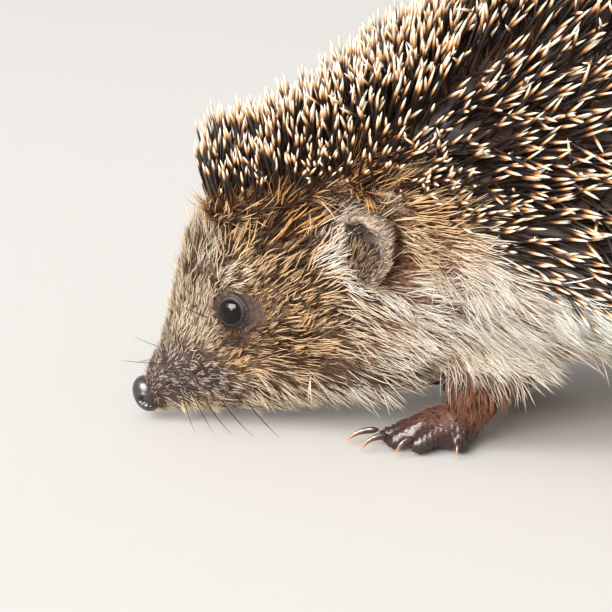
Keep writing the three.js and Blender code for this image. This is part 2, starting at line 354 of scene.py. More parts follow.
def ear_reach(place):
    """0 in the middle of an ear and 1 on its rim, for places in the ear's own terms."""
    height = np.clip(place[:, 1] / EAR["half_height"], -1, 1)
    half_width = EAR["half_width"] * (1 - 0.16 * height)
    return np.hypot(place[:, 0] / half_width, place[:, 1] / EAR["half_height"])


def ear_shell(side):
    """A cupped leaf, its rim rolled forwards along the top and the rear edge."""
    bm = bmesh.new()
    bmesh.ops.create_grid(bm, x_segments=22, y_segments=56, size=1)
    centre, rearward, tip, facing = ear_frame(side)
    for vertex in bm.verts:
        reach = max(0.0, (vertex.co.x + 1) / 2)
        turn = math.pi * vertex.co.y
        rear, high = math.cos(turn), math.sin(turn)
        power = 3.1 if rear > 0 and high > 0 else 2.1
        outline = (abs(rear) ** power + abs(high) ** power) ** (-1 / power)
        upper = max(0.0, high) * (1 + 0.3 * min(0.0, rear))
        rolled = reach - (0.25 + 0.9 * upper) * max(0.0, reach - 0.6) ** 2 / 0.4
        height = EAR["half_height"] * high * outline * rolled
        width = EAR["half_width"] * (1 - 0.16 * high * rolled) * rear * outline * rolled
        roll = max(0.0, reach - 0.55) / 0.45
        depth = EAR["cup"] * (reach ** 2 - 0.75) + (0.3 + 1.9 * upper) * roll ** 1.5
        depth -= 5.0 * max(0.0, -0.6 * rear - 0.8 * high - 0.05) * reach ** 2
        depth += 0.25 * math.sin(5 * turn + 1) * reach ** 3
        vertex.co = centre + (rearward * width + tip * height + facing * depth) * MM
    bmesh.ops.remove_doubles(bm, verts=bm.verts, dist=0.05 * MM)
    shell = plain_object(f"ear_{side}", bm)
    solid = shell.modifiers.new("Solidify", "SOLIDIFY")
    solid.thickness = 1.3 * MM
    solid.offset = 0
    return applied(shell)


def ear_root(side):
    """The fleshy stalk behind the hollow of an ear."""
    bm = bmesh.new()
    bmesh.ops.create_icosphere(bm, subdivisions=3, radius=1)
    centre, rearward, tip, facing = ear_frame(side)
    for vertex in bm.verts:
        x, y, z = vertex.co
        place = rearward * (4.4 * x - 1.5) + tip * (7.0 * y - 3.0) + facing * (4.2 * z - 6.2)
        vertex.co = centre + place * MM
    return plain_object(f"ear_root_{side}", bm)


def joined(pieces, name):
    """The pieces as one, which takes their place."""
    whole = bmesh.new()
    for piece in pieces:
        mesh = piece.data
        whole.from_mesh(mesh)
        bpy.data.objects.remove(piece)
        bpy.data.meshes.remove(mesh)
    return plain_object(name, whole)


# ---------------------------------------------------------------- the face

# The left eyeball: its middle, its radius and the way it looks.
EYE = {"centre": (12.65, 22.0, 27.2), "radius": 3.05, "axis": (0.93, -0.36, -0.03)}


def eye_frame(side):
    """Centre of an eyeball and the direction it looks, in world terms."""
    mirror = mirror_of(side)
    return np.array(world_place(EYE["centre"])) * mirror, unit(np.array(EYE["axis"])) * mirror


# Charts of the lids over an eyeball, by the angle from the way it looks, in degrees: how far the skin
# is from the middle of the eyeball, and how firmly it is held there.
LID_RADIUS = [(0, 2.1), (47, 2.2), (51, 2.9), (55, 3.32), (60, 3.52), (68, 3.55), (80, 3.5), (95, 3.4)]
LID_HOLD = [(0, 1), (66, 1), (80, 0.45), (95, 0)]


def lidded(places):
    """Draws the skin under each eyeball within the lids and raises the lids around it."""
    for side in SIDES:
        centre, axis = eye_frame(side)
        offset = (places - centre) / MM
        near = np.linalg.norm(offset, axis=1) < 9
        outward = offset[near] @ axis
        across = np.linalg.norm(offset[near] - outward[:, None] * axis, axis=1)
        mound = 1.8 * smoothstep(8.5, 3.5, across) - 8 * smoothstep(4.5, 8.5, across)
        offset[near] += np.maximum(0, mound - outward)[:, None] * axis
        distance = np.linalg.norm(offset, axis=1)
        way = unit(offset[near])
        angle = np.degrees(np.arccos(np.clip(way @ axis, -1, 1)))
        level = unit(np.cross(axis, (0, 0, 1)))
        along = way @ level
        above = way @ np.cross(level, axis)
        turn = np.arctan2(above, along)
        angle = angle + 2.5 * np.cos(2 * turn)
        now = distance[near]
        share = chart(angle, LID_HOLD) * smoothstep(8.5, 5.0, now)
        moved = now + share * (chart(angle, LID_RADIUS) - now)
        places[near] = centre + way * moved[:, None] * MM
    return places


WART = (11.2, 15.0, 25.2)  # the small bare wart before the eye
LIP_LINE = [(4, 3.2), (10, 3.4), (18, 4.6), (24, 6.4)]  # its height, by the way back


def creased(places, normals):
    """Folds curved round behind the eye, a wart before it, and the line of the lips."""
    place = animal_place(places)
    place[:, 0] = np.abs(place[:, 0])
    out, back, up = place.T
    _, eye_back, eye_up = EYE["centre"]
    turn = np.arctan2(up - eye_up, back - eye_back)
    away = np.hypot(up - eye_up, back - eye_back)
    patch = smoothstep(3.2, 4.2, away) * smoothstep(9.5, 7.5, away) * smoothstep(8, 11, out)
    patch *= smoothstep(1.35, 0.8, np.abs(turn))
    fold = 0.3 * np.sin(away * 4.1 + 0.6 * np.sin(turn * 5)) * patch
    pouch = 0.12 * np.sin(away * 5.0) * smoothstep(3.4, 3.8, away) * smoothstep(5.6, 4.8, away)
    lip_up = chart(back, LIP_LINE)
    lip = np.exp(-((up - lip_up) / 0.45) ** 2) * smoothstep(4, 6, back) * smoothstep(25, 21, back)
    wart = np.exp(-(np.linalg.norm(place - np.array(WART), axis=1) / 0.9) ** 2)
    depth = (fold + pouch * (1 - patch) - 0.55 * lip + 0.7 * wart) * MM
    return places + normals * depth[:, None]


def wrinkled_toes(places, normals):
    """Rings of skin across the toes and small creases over the feet."""
    place = animal_place(places)
    low = smoothstep(8, 5.5, place[:, 2]) * limb_share(place)
    ring = np.sin(place[:, 1] * 5.2 + 1.5 * np.sin(place[:, 0] * 1.1))
    depth = 0.2 * ring * low * smoothstep(0.3, 1.2, place[:, 2]) * MM
    return places + normals * depth[:, None]


# ---------------------------------------------------------------- the skin as one piece

def subdivided_near(piece, wanted):
    """Splits the faces whose middles the given test picks out."""
    bm = bmesh.new()
    bm.from_mesh(piece.data)
    middles = np.array([face.calc_center_median() for face in bm.faces])
    chosen = wanted(middles)
    edges = set()
    for face, take in zip(bm.faces, chosen):
        if take:
            edges.update(face.edges)
    bmesh.ops.subdivide_edges(bm, edges=list(edges), cuts=1, use_grid_fill=True)
    bmesh.ops.triangulate(bm, faces=bm.faces)
    bm.to_mesh(piece.data)
    bm.free()
    return piece


def eye_patch(place):
    """How far places are from an eye, as a share of the reach of the bare skin round it."""
    near_middle = np.abs(place[:, 0]) < 7
    return np.hypot((place[:, 1] - 23.0) / 4.4, (place[:, 2] - 27.0) / 3.5) + 9 * near_middle


def near_an_eye(points, reach=6.5):
    """Whether points lie within the given millimetres of the middle of an eyeball."""
    close = np.zeros(len(points), bool)
    for side in SIDES:
        close |= np.linalg.norm(points - eye_frame(side)[0], axis=1) < reach * MM
    return close


def ear_leaf(place):
    """1 on the leaf of an ear and 0 elsewhere, for places in the ear's own terms."""
    inside = smoothstep(1.35, 1.15, ear_reach(place))
    return inside * (smoothstep(-5.5, -3.5, place[:, 2]) * smoothstep(6, 5, place[:, 2]))


def ear_pit(place):
    """1 in the deep hollow at the foot of an ear, fading out round it."""
    return np.exp(-((place[:, 0] + 2.0) / 2.0) ** 2 - ((place[:, 1] + 6.5) / 2.0) ** 2)


def on_an_ear(points):
    """1 on the ears and 0 elsewhere."""
    share = np.zeros(len(points))
    for side in SIDES:
        share = np.maximum(share, ear_leaf(ear_place(points, side)))
    return share


def thinned(piece, triangles_kept):
    """Fewer triangles under the spines and the body fur; the face, ears and feet keep theirs."""
    mesh = piece.data
    places = mesh_places(mesh)
    place = animal_place(places)
    detail = smoothstep(50, 36, place[:, 1]) * smoothstep(12, 2, above_spine_edge(place))
    detail = np.maximum(detail, on_an_ear(places))
    detail = np.maximum(detail, limb_share(place))
    group = piece.vertex_groups.new(name="plain")
    levels = np.round((1 - detail) * 8).astype(int)
    for level in range(9):
        group.add(np.flatnonzero(levels == level).tolist(), level / 8, "REPLACE")
    decimate = piece.modifiers.new("Decimate", "DECIMATE")
    decimate.vertex_group = "plain"
    decimate.vertex_group_factor = 10
    decimate.ratio = triangles_kept / len(mesh_triangles(mesh))
    applied(piece)
    piece.vertex_groups.clear()
    return piece


def snout_core():
    """The firm end of the snout, behind the nose pad."""
    bm = bmesh.new()
    bmesh.ops.create_icosphere(bm, subdivisions=3, radius=1)
    for vertex in bm.verts:
        x, y, z = vertex.co
        vertex.co = world_place((4.5 * x, 8.4 + 4.5 * y + 3.6 * z, 11.0 - 2.0 * y + 8.3 * z))
    return plain_object("snout_core", bm)


BODY_VOXEL = 1.2 * MM
SKIN_VOXEL = 0.6 * MM
SKIN_TRIANGLES = 180000


def make_skin():
    """The sunk body, the snout, the feet and the ears as one skin, with lids, lips and creases."""
    body = voxel_remeshed(solid_copy(BODY + LEGS, 0.4), BODY_VOXEL)
    parts = [sink_to_skin(body), snout_core(), solid_copy(FEET, -0.2)]
    parts += [make(side) for side in SIDES for make in (ear_shell, ear_root)]
    skin = subdivided_near(voxel_remeshed(joined(parts, "skin"), SKIN_VOXEL), near_an_eye)
    mesh = skin.data
    edges, triangles = mesh_edges(mesh), mesh_triangles(mesh)
    places = lidded(relaxed(mesh_places(mesh), edges, 2, 0.5))
    places = creased(places, vertex_normals(places, triangles))
    places = wrinkled_toes(places, vertex_normals(places, triangles))
    set_places(mesh, places)
    return thinned(skin, SKIN_TRIANGLES)


# ---------------------------------------------------------------- the markings and the lie of the fur

HAIR = {
    "soot": (38, 27, 23),
    "sable": (66, 38, 24),
    "umber": (100, 58, 34),
    "russet": (154, 92, 56),
    "fawn": (150, 106, 74),
    "mouse": (228, 208, 192),
    "tan": (214, 156, 108),
    "gold": (254, 190, 122),
    "sand": (255, 212, 160),
    "straw": (255, 230, 192),
    "cream": (255, 238, 208),
    "ivory": (255, 252, 242),
}

# Place (out, back, up) and how far it reaches, the way the hair lies (out, back, up), its length,
# the colours of its dark and of its light hairs, and the share of light ones. Millimetres.
GROOMING = {
    "bridge of the nose": ((0, 4, 13), 4, (0.1, 0.5, 0.85), 1.8, "sable", "mouse", 0.32),
    "muzzle": ((6, 10, 9), 5, (0.3, 0.8, 0.35), 2.0, "soot", "mouse", 0.19),
    "rear of the muzzle": ((9.5, 17, 11), 4, (0.3, 0.9, 0.2), 2.4, "soot", "mouse", 0.19),
    "upper lip": ((5, 12, 4.5), 4, (0.35, 0.75, -0.55), 3.0, "sable", "straw", 0.60),
    "chin": ((3, 12, 3), 4, (0.1, 0.6, -0.8), 4.0, "tan", "cream", 0.80),
    "upper bridge": ((2, 8.5, 24), 6, (0.15, 0.35, 0.92), 4.0, "umber", "cream", 0.86),
    "front of the brow": ((3, 12, 40), 6, (0.15, 0.35, 0.9), 6.0, "umber", "cream", 0.86),
    "forehead": ((8, 14, 38), 7, (0.3, 0.45, 0.8), 7.5, "umber", "cream", 0.90),
    "before the eye": ((9, 14, 26), 5, (0.4, 0.4, 0.8), 3.2, "umber", "cream", 0.68),
    "over the eye": ((13, 20, 34), 4, (0.35, 0.75, 0.55), 7.5, "umber", "cream", 0.86),
    "brow": ((14, 22, 43), 7, (0.4, 0.5, 0.8), 8.0, "sable", "sand", 0.60),
    "fringe of the brow": ((11, 18, 49), 5, (0.25, 0.05, 1.0), 9.0, "umber", "gold", 0.60),
    "rim of the eye": ((13.5, 21.5, 27.6), 4.2, (0.3, 0.9, 0.1), 1.4, "soot", "tan", 0.35),
    "below the rim": ((13, 22, 21.5), 4, (0.4, 0.6, 0.3), 1.8, "soot", "fawn", 0.40),
    "behind the eye": ((17, 28, 29), 4, (0.4, 0.6, 0.75), 2.5, "sable", "sand", 0.45),
    "under the eye": ((13, 22, 15), 4, (0.35, 0.65, 0.75), 3.4, "sable", "sand", 0.46),
    "cheek": ((17, 33, 20), 7, (0.5, 0.85, 0.35), 7.0, "sable", "sand", 0.58),
    "high cheek": ((19, 36, 29), 5, (0.45, 0.7, 0.65), 6.0, "sable", "sand", 0.56),
    "upper cheek": ((20, 36, 36), 6, (0.4, 0.65, 0.7), 7.0, "sable", "sand", 0.52),
    "lower cheek": ((14, 28, 8), 6, (0.3, 0.55, -0.75), 6.0, "umber", "cream", 0.78),
    "side of the throat": ((18, 42, 10), 7, (0.4, 0.55, -0.72), 12.0, "fawn", "ivory", 0.90),
    "before the ear": ((22, 41, 45), 5, (0.6, 0.45, 0.75), 9.0, "umber", "cream", 0.76),
    "front of the ear": ((22, 41, 37), 5, (0.65, 0.6, 0.5), 9.0, "umber", "cream", 0.76),
    "below the ear": ((22, 44, 30), 5, (0.45, 0.75, -0.3), 9.0, "umber", "cream", 0.65),
    "temple": ((19, 32, 45), 6, (0.45, 0.5, 0.75), 9.0, "sable", "gold", 0.50),
    "above the ear": ((24, 46, 57), 5, (0.6, 0.5, 0.6), 9.0, "sable", "gold", 0.50),
    "high behind the ear": ((30, 60, 52), 7, (0.35, 0.9, 0.35), 11.0, "umber", "sand", 0.70),
    "behind the ear": ((27, 57, 43), 7, (0.3, 0.9, 0.3), 12.0, "russet", "straw", 0.88),
    "neck": ((28, 62, 33), 8, (0.25, 0.95, 0.12), 14.0, "russet", "ivory", 0.93),
    "shoulder": ((36, 74, 36), 9, (0.25, 0.95, -0.05), 14.0, "tan", "ivory", 0.93),
    "skirt of the throat": ((24, 56, 16), 8, (0.3, 0.75, -0.5), 13.0, "tan", "ivory", 0.94),
    "over the foreleg": ((32, 70, 24), 7, (0.35, 0.85, -0.4), 12.0, "cream", "ivory", 0.95),
    "front of the flank": ((45, 88, 30), 14, (0.3, 0.8, -0.45), 13.0, "ivory", "ivory", 0.95),
    "skirt": ((42, 95, 20), 14, (0.2, 0.7, -0.7), 15.0, "ivory", "ivory", 0.97),
    "flank": ((52, 130, 28), 20, (0.3, 0.75, -0.6), 14.0, "tan", "cream", 0.75),
    "rear of the flank": ((48, 170, 26), 20, (0.25, 0.7, -0.6), 13.0, "umber", "straw", 0.65),
    "rump": ((20, 198, 26), 14, (0.15, 0.6, -0.8), 12.0, "umber", "sand", 0.60),
    "belly": ((0, 110, 15), 26, (0, 0.9, -0.3), 8.0, "tan", "straw", 0.60),
    "hind belly": ((0, 160, 16), 24, (0, 0.9, -0.3), 8.0, "umber", "sand", 0.55),
    "chest": ((0, 70, 15), 14, (0, 0.7, -0.7), 9.0, "fawn", "cream", 0.75),
    "throat": ((0, 40, 6), 10, (0, 0.9, -0.3), 6.0, "fawn", "cream", 0.75),
}


def mirrored(place):
    """Places on the right side as the like places on the left."""
    return np.column_stack([np.abs(place[:, 0]), place[:, 1:]])


def drawn_between(named, place, value_of):
    """A value of the nearest named places, each counting by how near it is for its reach."""
    rows = list(named.values())
    centres = np.array([row[0] for row in rows], float)
    reach = np.array([row[1] for row in rows], float)
    distance = np.linalg.norm(mirrored(place)[:, None] - centres[None], axis=2) / reach
    nearness = 1 / (distance ** 4 + 0.02)
    nearness /= nearness.sum(axis=1, keepdims=True)
    return nearness @ np.array([value_of(row) for row in rows], float)


def lie_of(named, place, middle):
    """World directions at places on the animal; they turn outwards over the middle's half width."""
    lie = drawn_between(named, place, lambda row: row[2])
    lie[:, 0] *= np.sign(place[:, 0]) * smoothstep(0, middle, np.abs(place[:, 0]))
    return lie


def length_of(named, place):
    """Lengths at places on the animal, in millimetres."""
    return drawn_between(named, place, lambda row: [row[3]])[:, 0]


def colours_of_fur(place):
    """The dark colour, the light colour and the share of light hairs at places on the animal."""
    dark = drawn_between(GROOMING, place, lambda row: linear(*HAIR[row[4]]))
    light = drawn_between(GROOMING, place, lambda row: linear(*HAIR[row[5]]))
    share = drawn_between(GROOMING, place, lambda row: [row[6]])[:, 0]
    return dark, light, share


# Place and reach, the way the spines point (out, back, up) and their length.
SPINES = {
    "brow": ((6, 15, 48), 8, (0.1, -0.12, 1.0), 23),
    "side of the brow": ((16, 20, 47), 7, (0.5, -0.12, 0.85), 19),
    "crown": ((10, 28, 53), 9, (0.2, -0.08, 0.98), 19),
    "temple": ((24, 38, 55), 8, (0.7, 0.0, 0.7), 13),
    "nape": ((15, 50, 68), 12, (0.3, 0.1, 0.95), 18),
    "side of the nape": ((32, 58, 58), 10, (0.8, 0.45, 0.4), 16),
    "shoulder": ((38, 75, 62), 14, (0.45, 0.85, 0.2), 18),
    "front of the flank": ((45, 82, 48), 12, (0.35, 0.9, -0.2), 18),
    "flank": ((52, 110, 45), 20, (0.35, 0.88, -0.3), 19),
    "fore back": ((10, 80, 92), 16, (0.2, 0.2, 0.95), 20),
    "back": ((15, 115, 100), 24, (0.25, 0.55, 0.8), 20),
    "loin": ((20, 150, 98), 24, (0.25, 0.75, 0.6), 20),
    "rear of the flank": ((50, 160, 50), 24, (0.6, 0.75, -0.2), 17),
    "rump": ((20, 185, 75), 18, (0.25, 0.9, 0.3), 19),
    "low rump": ((20, 202, 45), 14, (0.2, 0.9, -0.3), 16),
}


# ---------------------------------------------------------------- roots

class Roots:
    """Points spread over the skin where hairs or spines grow, and the skin's normals there."""

    def __init__(self, points, normals):
        self.points = points
        self.normals = normals
        self.place = animal_place(points)

    def __len__(self):
        return len(self.points)

    def only(self, chosen):
        return Roots(self.points[chosen], self.normals[chosen])

    def sunk(self, depth):
        """The same roots, that many millimetres under the skin."""
        return Roots(self.points - self.normals * depth * MM, self.normals)


def skin_surface(mesh):
    """The corners of each triangle, the evened normals there, and the areas in square millimetres."""
    places, triangles = mesh_places(mesh), mesh_triangles(mesh)
    normals = vertex_normals(places, triangles)
    normals = unit(relaxed(normals, mesh_edges(mesh), 4))
    corners = places[triangles]
    areas = np.linalg.norm(np.cross(corners[:, 1] - corners[:, 0], corners[:, 2] - corners[:, 0]), axis=1)
    return corners, normals[triangles], areas / 2 / MM ** 2


def scattered(surface, density):
    """Roots at random over the skin; density gives their number to the square millimetre."""
    corners, normals, areas = surface
    expected = areas * density(corners.mean(axis=1), unit(normals.mean(axis=1)))
    count = int(round(expected.sum()))
    chosen = RANDOM.choice(len(areas), count, p=expected / expected.sum())
    shares = RANDOM.dirichlet((1, 1, 1), count)[:, :, None]
    points = (corners[chosen] * shares).sum(axis=1)
    return Roots(points, unit((normals[chosen] * shares).sum(axis=1)))


def spaced_numbers(roots, apart):
    """The numbers of those roots, taken in turn, that are not too close to one already taken."""
    cells = {}
    kept = []
    size = float(apart.max())
    around = list(itertools.product((-1, 0, 1), repeat=3))
    for index, ((x, y, z), gap) in enumerate(zip((roots.points / MM).tolist(), apart.tolist())):
        i, j, k = int(x // size), int(y // size), int(z // size)
        if not any((u - x) ** 2 + (v - y) ** 2 + (w - z) ** 2 < gap * gap
                   for a, b, c in around for u, v, w in cells.get((i + a, j + b, k + c), ())):
            cells.setdefault((i, j, k), []).append((x, y, z))
            kept.append(index)
    return np.array(kept)


# ---------------------------------------------------------------- strands

TIPS_OVER_FLOOR = 0.4 * MM  # the lowest that a hair may hang
UNWRAP_PATCH = 0.003  # the side of a strand's patch, as a share of the unwrap
BODY_AXIS = [(0, 7), (25, 20), (60, 38), (110, 45), (210, 40)]  # its height, by the way back


def over_floor(tips):
    """The tips, each raised to TIPS_OVER_FLOOR if it is lower."""
    tips[:, 2] = np.maximum(tips[:, 2], TIPS_OVER_FLOOR)
    return tips


def tips_of(points, starts, ends, lengths):
    """Where strands end that leave one way and finish another."""
    return points + (starts + ends) * (lengths * MM / 2)[:, None]


def leaders_of(roots, apart):
    """The number of the strand that leads each strand's lock."""
    leaders = spaced_numbers(roots, apart)
    tree = KDTree(len(leaders))
    for number in leaders:
        tree.insert(roots.points[number], int(number))
    tree.balance()
    return np.array([tree.find(point)[1] for point in roots.points])


def in_locks(points, tips, leader, pull):
    """Tips drawn together towards those of the leaders of their locks."""
    together = tips[leader] + (points - points[leader]) * 0.3
    share = (RANDOM.uniform(0.4, 1.0, len(points)) * pull)[:, None]
    return tips + share * (together - tips)


def curved_paths(points, starts, tips, lengths, steps):
    """Places and directions at the given steps along curves from root to tip."""
    t = np.array(steps, float)[None, :, None]
    middle = points + starts * (lengths * MM / 2)[:, None]
    first, middle, last = points[:, None], middle[:, None], tips[:, None]
    places = (1 - t) ** 2 * first + 2 * t * (1 - t) * middle + t ** 2 * last
    directions = unit(2 * (1 - t) * (middle - first) + 2 * t * (last - middle))
    return places, directions


def strand_piece(name, roots, shape, patches, starts, tips, lengths, widths, colours, root_colours,
                 bands=None):
    """One mesh of many solid tapering strands.

    shape: the rings, as (step along the strand, share of its width), which a point at 1 closes; how
    many sides a strand has; and its thickness as a share of its width.
    patches: where each strand's small patch lies on the unwrap of the skin.
    colours, and the roots' colours: the linear colours of each strand and of its root; darker roots are
    partly painted shade.
    bands: how much closer to its tip each strand's bands of colour lie.
    """
    rings, sides, flatness = shape
    count = len(roots)
    steps = [step for step, _ in rings]
    places, directions = curved_paths(roots.points, starts, tips, lengths, steps + [1.0])
    across = unit(np.cross(directions, roots.normals[:, None]) + 1e-6)
    upward = np.cross(across, directions)
    turns = (np.arange(sides) + 0.25) * 2 * math.pi / sides
    shares = np.array([share for _, share in rings])
    half = (widths[:, None] * shares[None] * MM / 2)[:, :, None, None]
    around = (across[:, :-1, None] * np.cos(turns)[None, None, :, None]
              + flatness * upward[:, :-1, None] * np.sin(turns)[None, None, :, None])
    body = places[:, :-1, None] + half * around
    ring_count = len(rings)
    vertices = np.concatenate([body.reshape(count, -1, 3), places[:, -1:]], axis=1)
    per_strand = ring_count * sides + 1

    triangles = []  # of one strand: its rings, its point and its foot
    for ring in range(ring_count - 1):
        for side in range(sides):
            a, b = ring * sides + side, ring * sides + (side + 1) % sides
            triangles += [(a, b, b + sides), (a, b + sides, a + sides)]
    last = (ring_count - 1) * sides
    triangles += [(last + side, last + (side + 1) % sides, per_strand - 1) for side in range(sides)]
    triangles += [(0, side + 1, side) for side in range(1, sides - 1)]
    template = np.array(triangles)
    faces = (template[None] + per_strand * np.arange(count)[:, None, None]).reshape(-1, 3)

    mesh = bpy.data.meshes.new(name)
    mesh.vertices.add(count * per_strand)
    mesh.vertices.foreach_set("co", vertices.ravel())
    mesh.loops.add(faces.size)
    mesh.loops.foreach_set("vertex_index", faces.ravel())
    mesh.polygons.add(len(faces))
    mesh.polygons.foreach_set("loop_start", np.arange(0, faces.size, 3))
    mesh.update(calc_edges=True)

    along = np.append(np.repeat(steps, sides), 1.0)
    turned = np.append(np.tile(np.arange(sides) / sides, ring_count), 0.5)
    flat = np.empty((count, per_strand, 2))
    flat[:, :, 0] = patches[:, :1] + UNWRAP_PATCH * (turned[None] - 0.5)
    flat[:, :, 1] = patches[:, 1:] + UNWRAP_PATCH * (along[None] - 0.5)
    unwrap = mesh.uv_layers.new(name="OFBake")
    unwrap.uv.foreach_set("vector", flat.reshape(-1, 2)[faces.ravel()].ravel())
    bands = np.ones(count) if bands is None else bands
    number_attribute(mesh, "along", (1 - (1 - along[None]) * bands[:, None]).ravel())
    colour_attribute(mesh, "coat", np.repeat(colours, per_strand, axis=0))
    colour_attribute(mesh, "root", np.repeat(root_colours, per_strand, axis=0))
    return new_object(name, mesh)


def number_attribute(mesh, name, values):
    mesh.attributes.new(name, "FLOAT", "POINT").data.foreach_set("value", np.ascontiguousarray(values))


def colour_attribute(mesh, name, colours):
    solid = np.column_stack([colours, np.ones(len(colours))])
    mesh.attributes.new(name, "FLOAT_COLOR", "POINT").data.foreach_set("color", solid.ravel())


def body_unwrap(roots):
    """A cylindrical unwrap of the body about its own long axis."""
    out, back, up = roots.place.T
    around = np.arctan2(out, up - chart(back, BODY_AXIS)) / math.pi
    return spread(np.column_stack([around, back]))


def spread(flat):
    """Coordinates stretched to fill the unwrap."""
    low, high = flat.min(axis=0), flat.max(axis=0)
    return 0.01 + 0.98 * (flat - low) / np.maximum(high - low, 1e-9)


def jittered(directions, amount):
    """Directions each turned a little at random."""
    return unit(directions + RANDOM.normal(0, amount, directions.shape))


def wandering(leader):
    """Directions drawn for each strand by itself, added to those of its leader."""
    own = RANDOM.normal(0, 1, (len(leader), 3))
    return own + RANDOM.normal(0, 1, (len(leader), 3))[leader]


def along_skin(directions, normals):
    """Directions less what they have along the normals."""
    return unit(directions - normals * (directions * normals).sum(axis=1)[:, None])


def strand_pieces(regions, roots, shape, material, smooth, **strands):
    """A piece for each region, given as its name, which of the strands are in it, and its slot, which is
    not used.
    """
    for name, chosen, slot in regions:
        some = roots.only(chosen)
        part = {key: values[chosen] for key, values in strands.items()}
        piece = strand_piece(name, some, shape, body_unwrap(some), **part)
        finished(piece, material, smooth=smooth)


# ---------------------------------------------------------------- materials

def new_node(tree, kind, inputs=(), **settings):
    """A node with its settings, then with the values of its inputs, as (name, value) rows."""
    node = tree.nodes.new(kind)
    for name, value in settings.items():
        setattr(node, name, value)
    for name, value in inputs:
        node.inputs[name].default_value = value
    return node


def wired(tree, *rows):
    """Links nodes by rows of (node, its output, other node, its input)."""
    for node, output, other, entry in rows:
        tree.links.new(node.outputs[output], other.inputs[entry])


def strand_shading():
    """Colour along a hair: its root's brown colour, part painted shade, and its own colour further out.
    """
    group = bpy.data.node_groups.new("strand_shading", "ShaderNodeTree")
    grey = (0.5, 0.5, 0.5, 1)
    for name, kind, default in (("Root", "NodeSocketColor", grey), ("Hair", "NodeSocketColor", grey),
                                ("Along", "NodeSocketFloat", 0.5), ("Reach", "NodeSocketFloat", 0.6)):
        group.interface.new_socket(name, in_out="INPUT", socket_type=kind).default_value = default
    group.interface.new_socket("Color", in_out="OUTPUT", socket_type="NodeSocketColor")
    into, out = new_node(group, "NodeGroupInput"), new_node(group, "NodeGroupOutput")
    rise = new_node(group, "ShaderNodeMapRange", interpolation_type="SMOOTHSTEP")
    blend = new_node(group, "ShaderNodeMix", data_type="RGBA")
    wired(group,
          (into, "Along", rise, "Value"),
          (into, "Reach", rise, "From Max"),
          (rise, "Result", blend, "Factor"),
          (into, "Root", blend, "A"),
          (into, "Hair", blend, "B"),
          (blend, "Result", out, "Color"))
    return group


def new_material(name, roughness, specular=0.5, colour=None):
    """A material, its node tree and its shader."""
    material = bpy.data.materials.new(name)
    material.use_nodes = True
    shader = material.node_tree.nodes["Principled BSDF"]
    shader.inputs["Roughness"].default_value = roughness
    shader.inputs["Specular IOR Level"].default_value = specular
    if colour is not None:
        shader.inputs["Base Color"].default_value = (*colour, 1)
    return material, material.node_tree, shader


def attribute_node(tree, name):
    return new_node(tree, "ShaderNodeAttribute", attribute_name=name)


def bumped(tree, shader, texture, output, strength, height):
    """Small relief on the shader, from a texture fixed to the piece."""
    where = new_node(tree, "ShaderNodeTexCoord")
    bump = new_node(tree, "ShaderNodeBump", [("Strength", strength), ("Distance", height)])
    wired(tree,
          (where, "Object", texture, "Vector"),
          (texture, output, bump, "Height"),
          (bump, "Normal", shader, "Normal"))
    return where


def ramp_along(tree, stops):
    """Colours from the root to the tip of a strand or claw, as (step, sRGB colour) rows."""
    ramp = new_node(tree, "ShaderNodeValToRGB")
    elements = ramp.color_ramp.elements
    while len(elements) < len(stops):
        elements.new(0.5)
    for element, (stop, colour) in zip(elements, stops):
        element.position = stop
        element.color = (*linear(*colour), 1)
    wired(tree, (attribute_node(tree, "along"), "Fac", ramp, "Fac"))
    return ramp


def fur_material(name, shading, reach):
    """Hair that has its own colour from the given share of its length outwards."""
    material, tree, shader = new_material(name, 0.6, 0.1)
    strand = new_node(tree, "ShaderNodeGroup", [("Reach", reach)], node_tree=shading)
    wired(tree,
          (attribute_node(tree, "root"), "Color", strand, "Root"),
          (attribute_node(tree, "coat"), "Color", strand, "Hair"),
          (attribute_node(tree, "along"), "Fac", strand, "Along"),
          (strand, "Color", shader, "Base Color"))
    return material


def spine_material():
    """Dark horn with a cream base and a sharply bounded cream tip."""
    material, tree, shader = new_material("spine", 0.4)
    ramp = ramp_along(tree, [
        (0.0, (120, 88, 60)), (0.14, (84, 56, 38)), (0.3, (48, 34, 27)), (0.66, (34, 25, 22)),
        (0.72, (104, 62, 34)), (0.78, (224, 164, 102)), (0.84, (255, 234, 202)),
        (0.96, (255, 250, 240)), (1.0, (236, 190, 140))])
    tint = new_node(tree, "ShaderNodeMix", [("Factor", 1.0)], data_type="RGBA", blend_type="MULTIPLY")
    wired(tree,
          (ramp, "Color", tint, "A"),
          (attribute_node(tree, "coat"), "Color", tint, "B"),
          (tint, "Result", shader, "Base Color"))
    return material


def skin_material():
    """Bare skin: its own markings, with fine pores and creases."""
    material, tree, shader = new_material("skin", 0.6, 0.3)
    dull = new_node(tree, "ShaderNodeMapRange", [("To Min", 0.6), ("To Max", 0.3)])
    pores = new_node(tree, "ShaderNodeTexNoise", [("Scale", 900), ("Detail", 4)])
    bumped(tree, shader, pores, "Fac", 0.5, 0.2 * MM)
    wired(tree,
          (attribute_node(tree, "markings"), "Color", shader, "Base Color"),
          (attribute_node(tree, "moist"), "Fac", dull, "Value"),
          (dull, "Result", shader, "Roughness"))
    return material


def blended(first, other, share):
    """Rows, or one value for all, drawn towards others by each row's share."""
    return first + np.asarray(share)[:, None] * (other - first)


# The colours of the skin, from the spines down to the toes; the pale one in the ear is painted light.
SKIN = {
    "under the spines": (58, 44, 36),
    "muzzle": (72, 58, 53),
    "round the eye": (78, 58, 52),
    "behind the eye": (122, 90, 80),
    "lids": (42, 31, 28),
    "edge of the lids": (26, 19, 18),
    "ear": (70, 58, 52),
    # painted light: the lit rear wall in the hollow of the ear
    "lit wall in the ear": (160, 150, 146),
    "pit of the ear": (112, 76, 72),
    "rim of the ear": (132, 112, 98),
    "top of the rim": (176, 156, 138),
    "wart": (50, 36, 34),
    "toes": (60, 44, 43),
    "feet": (112, 70, 54),
}


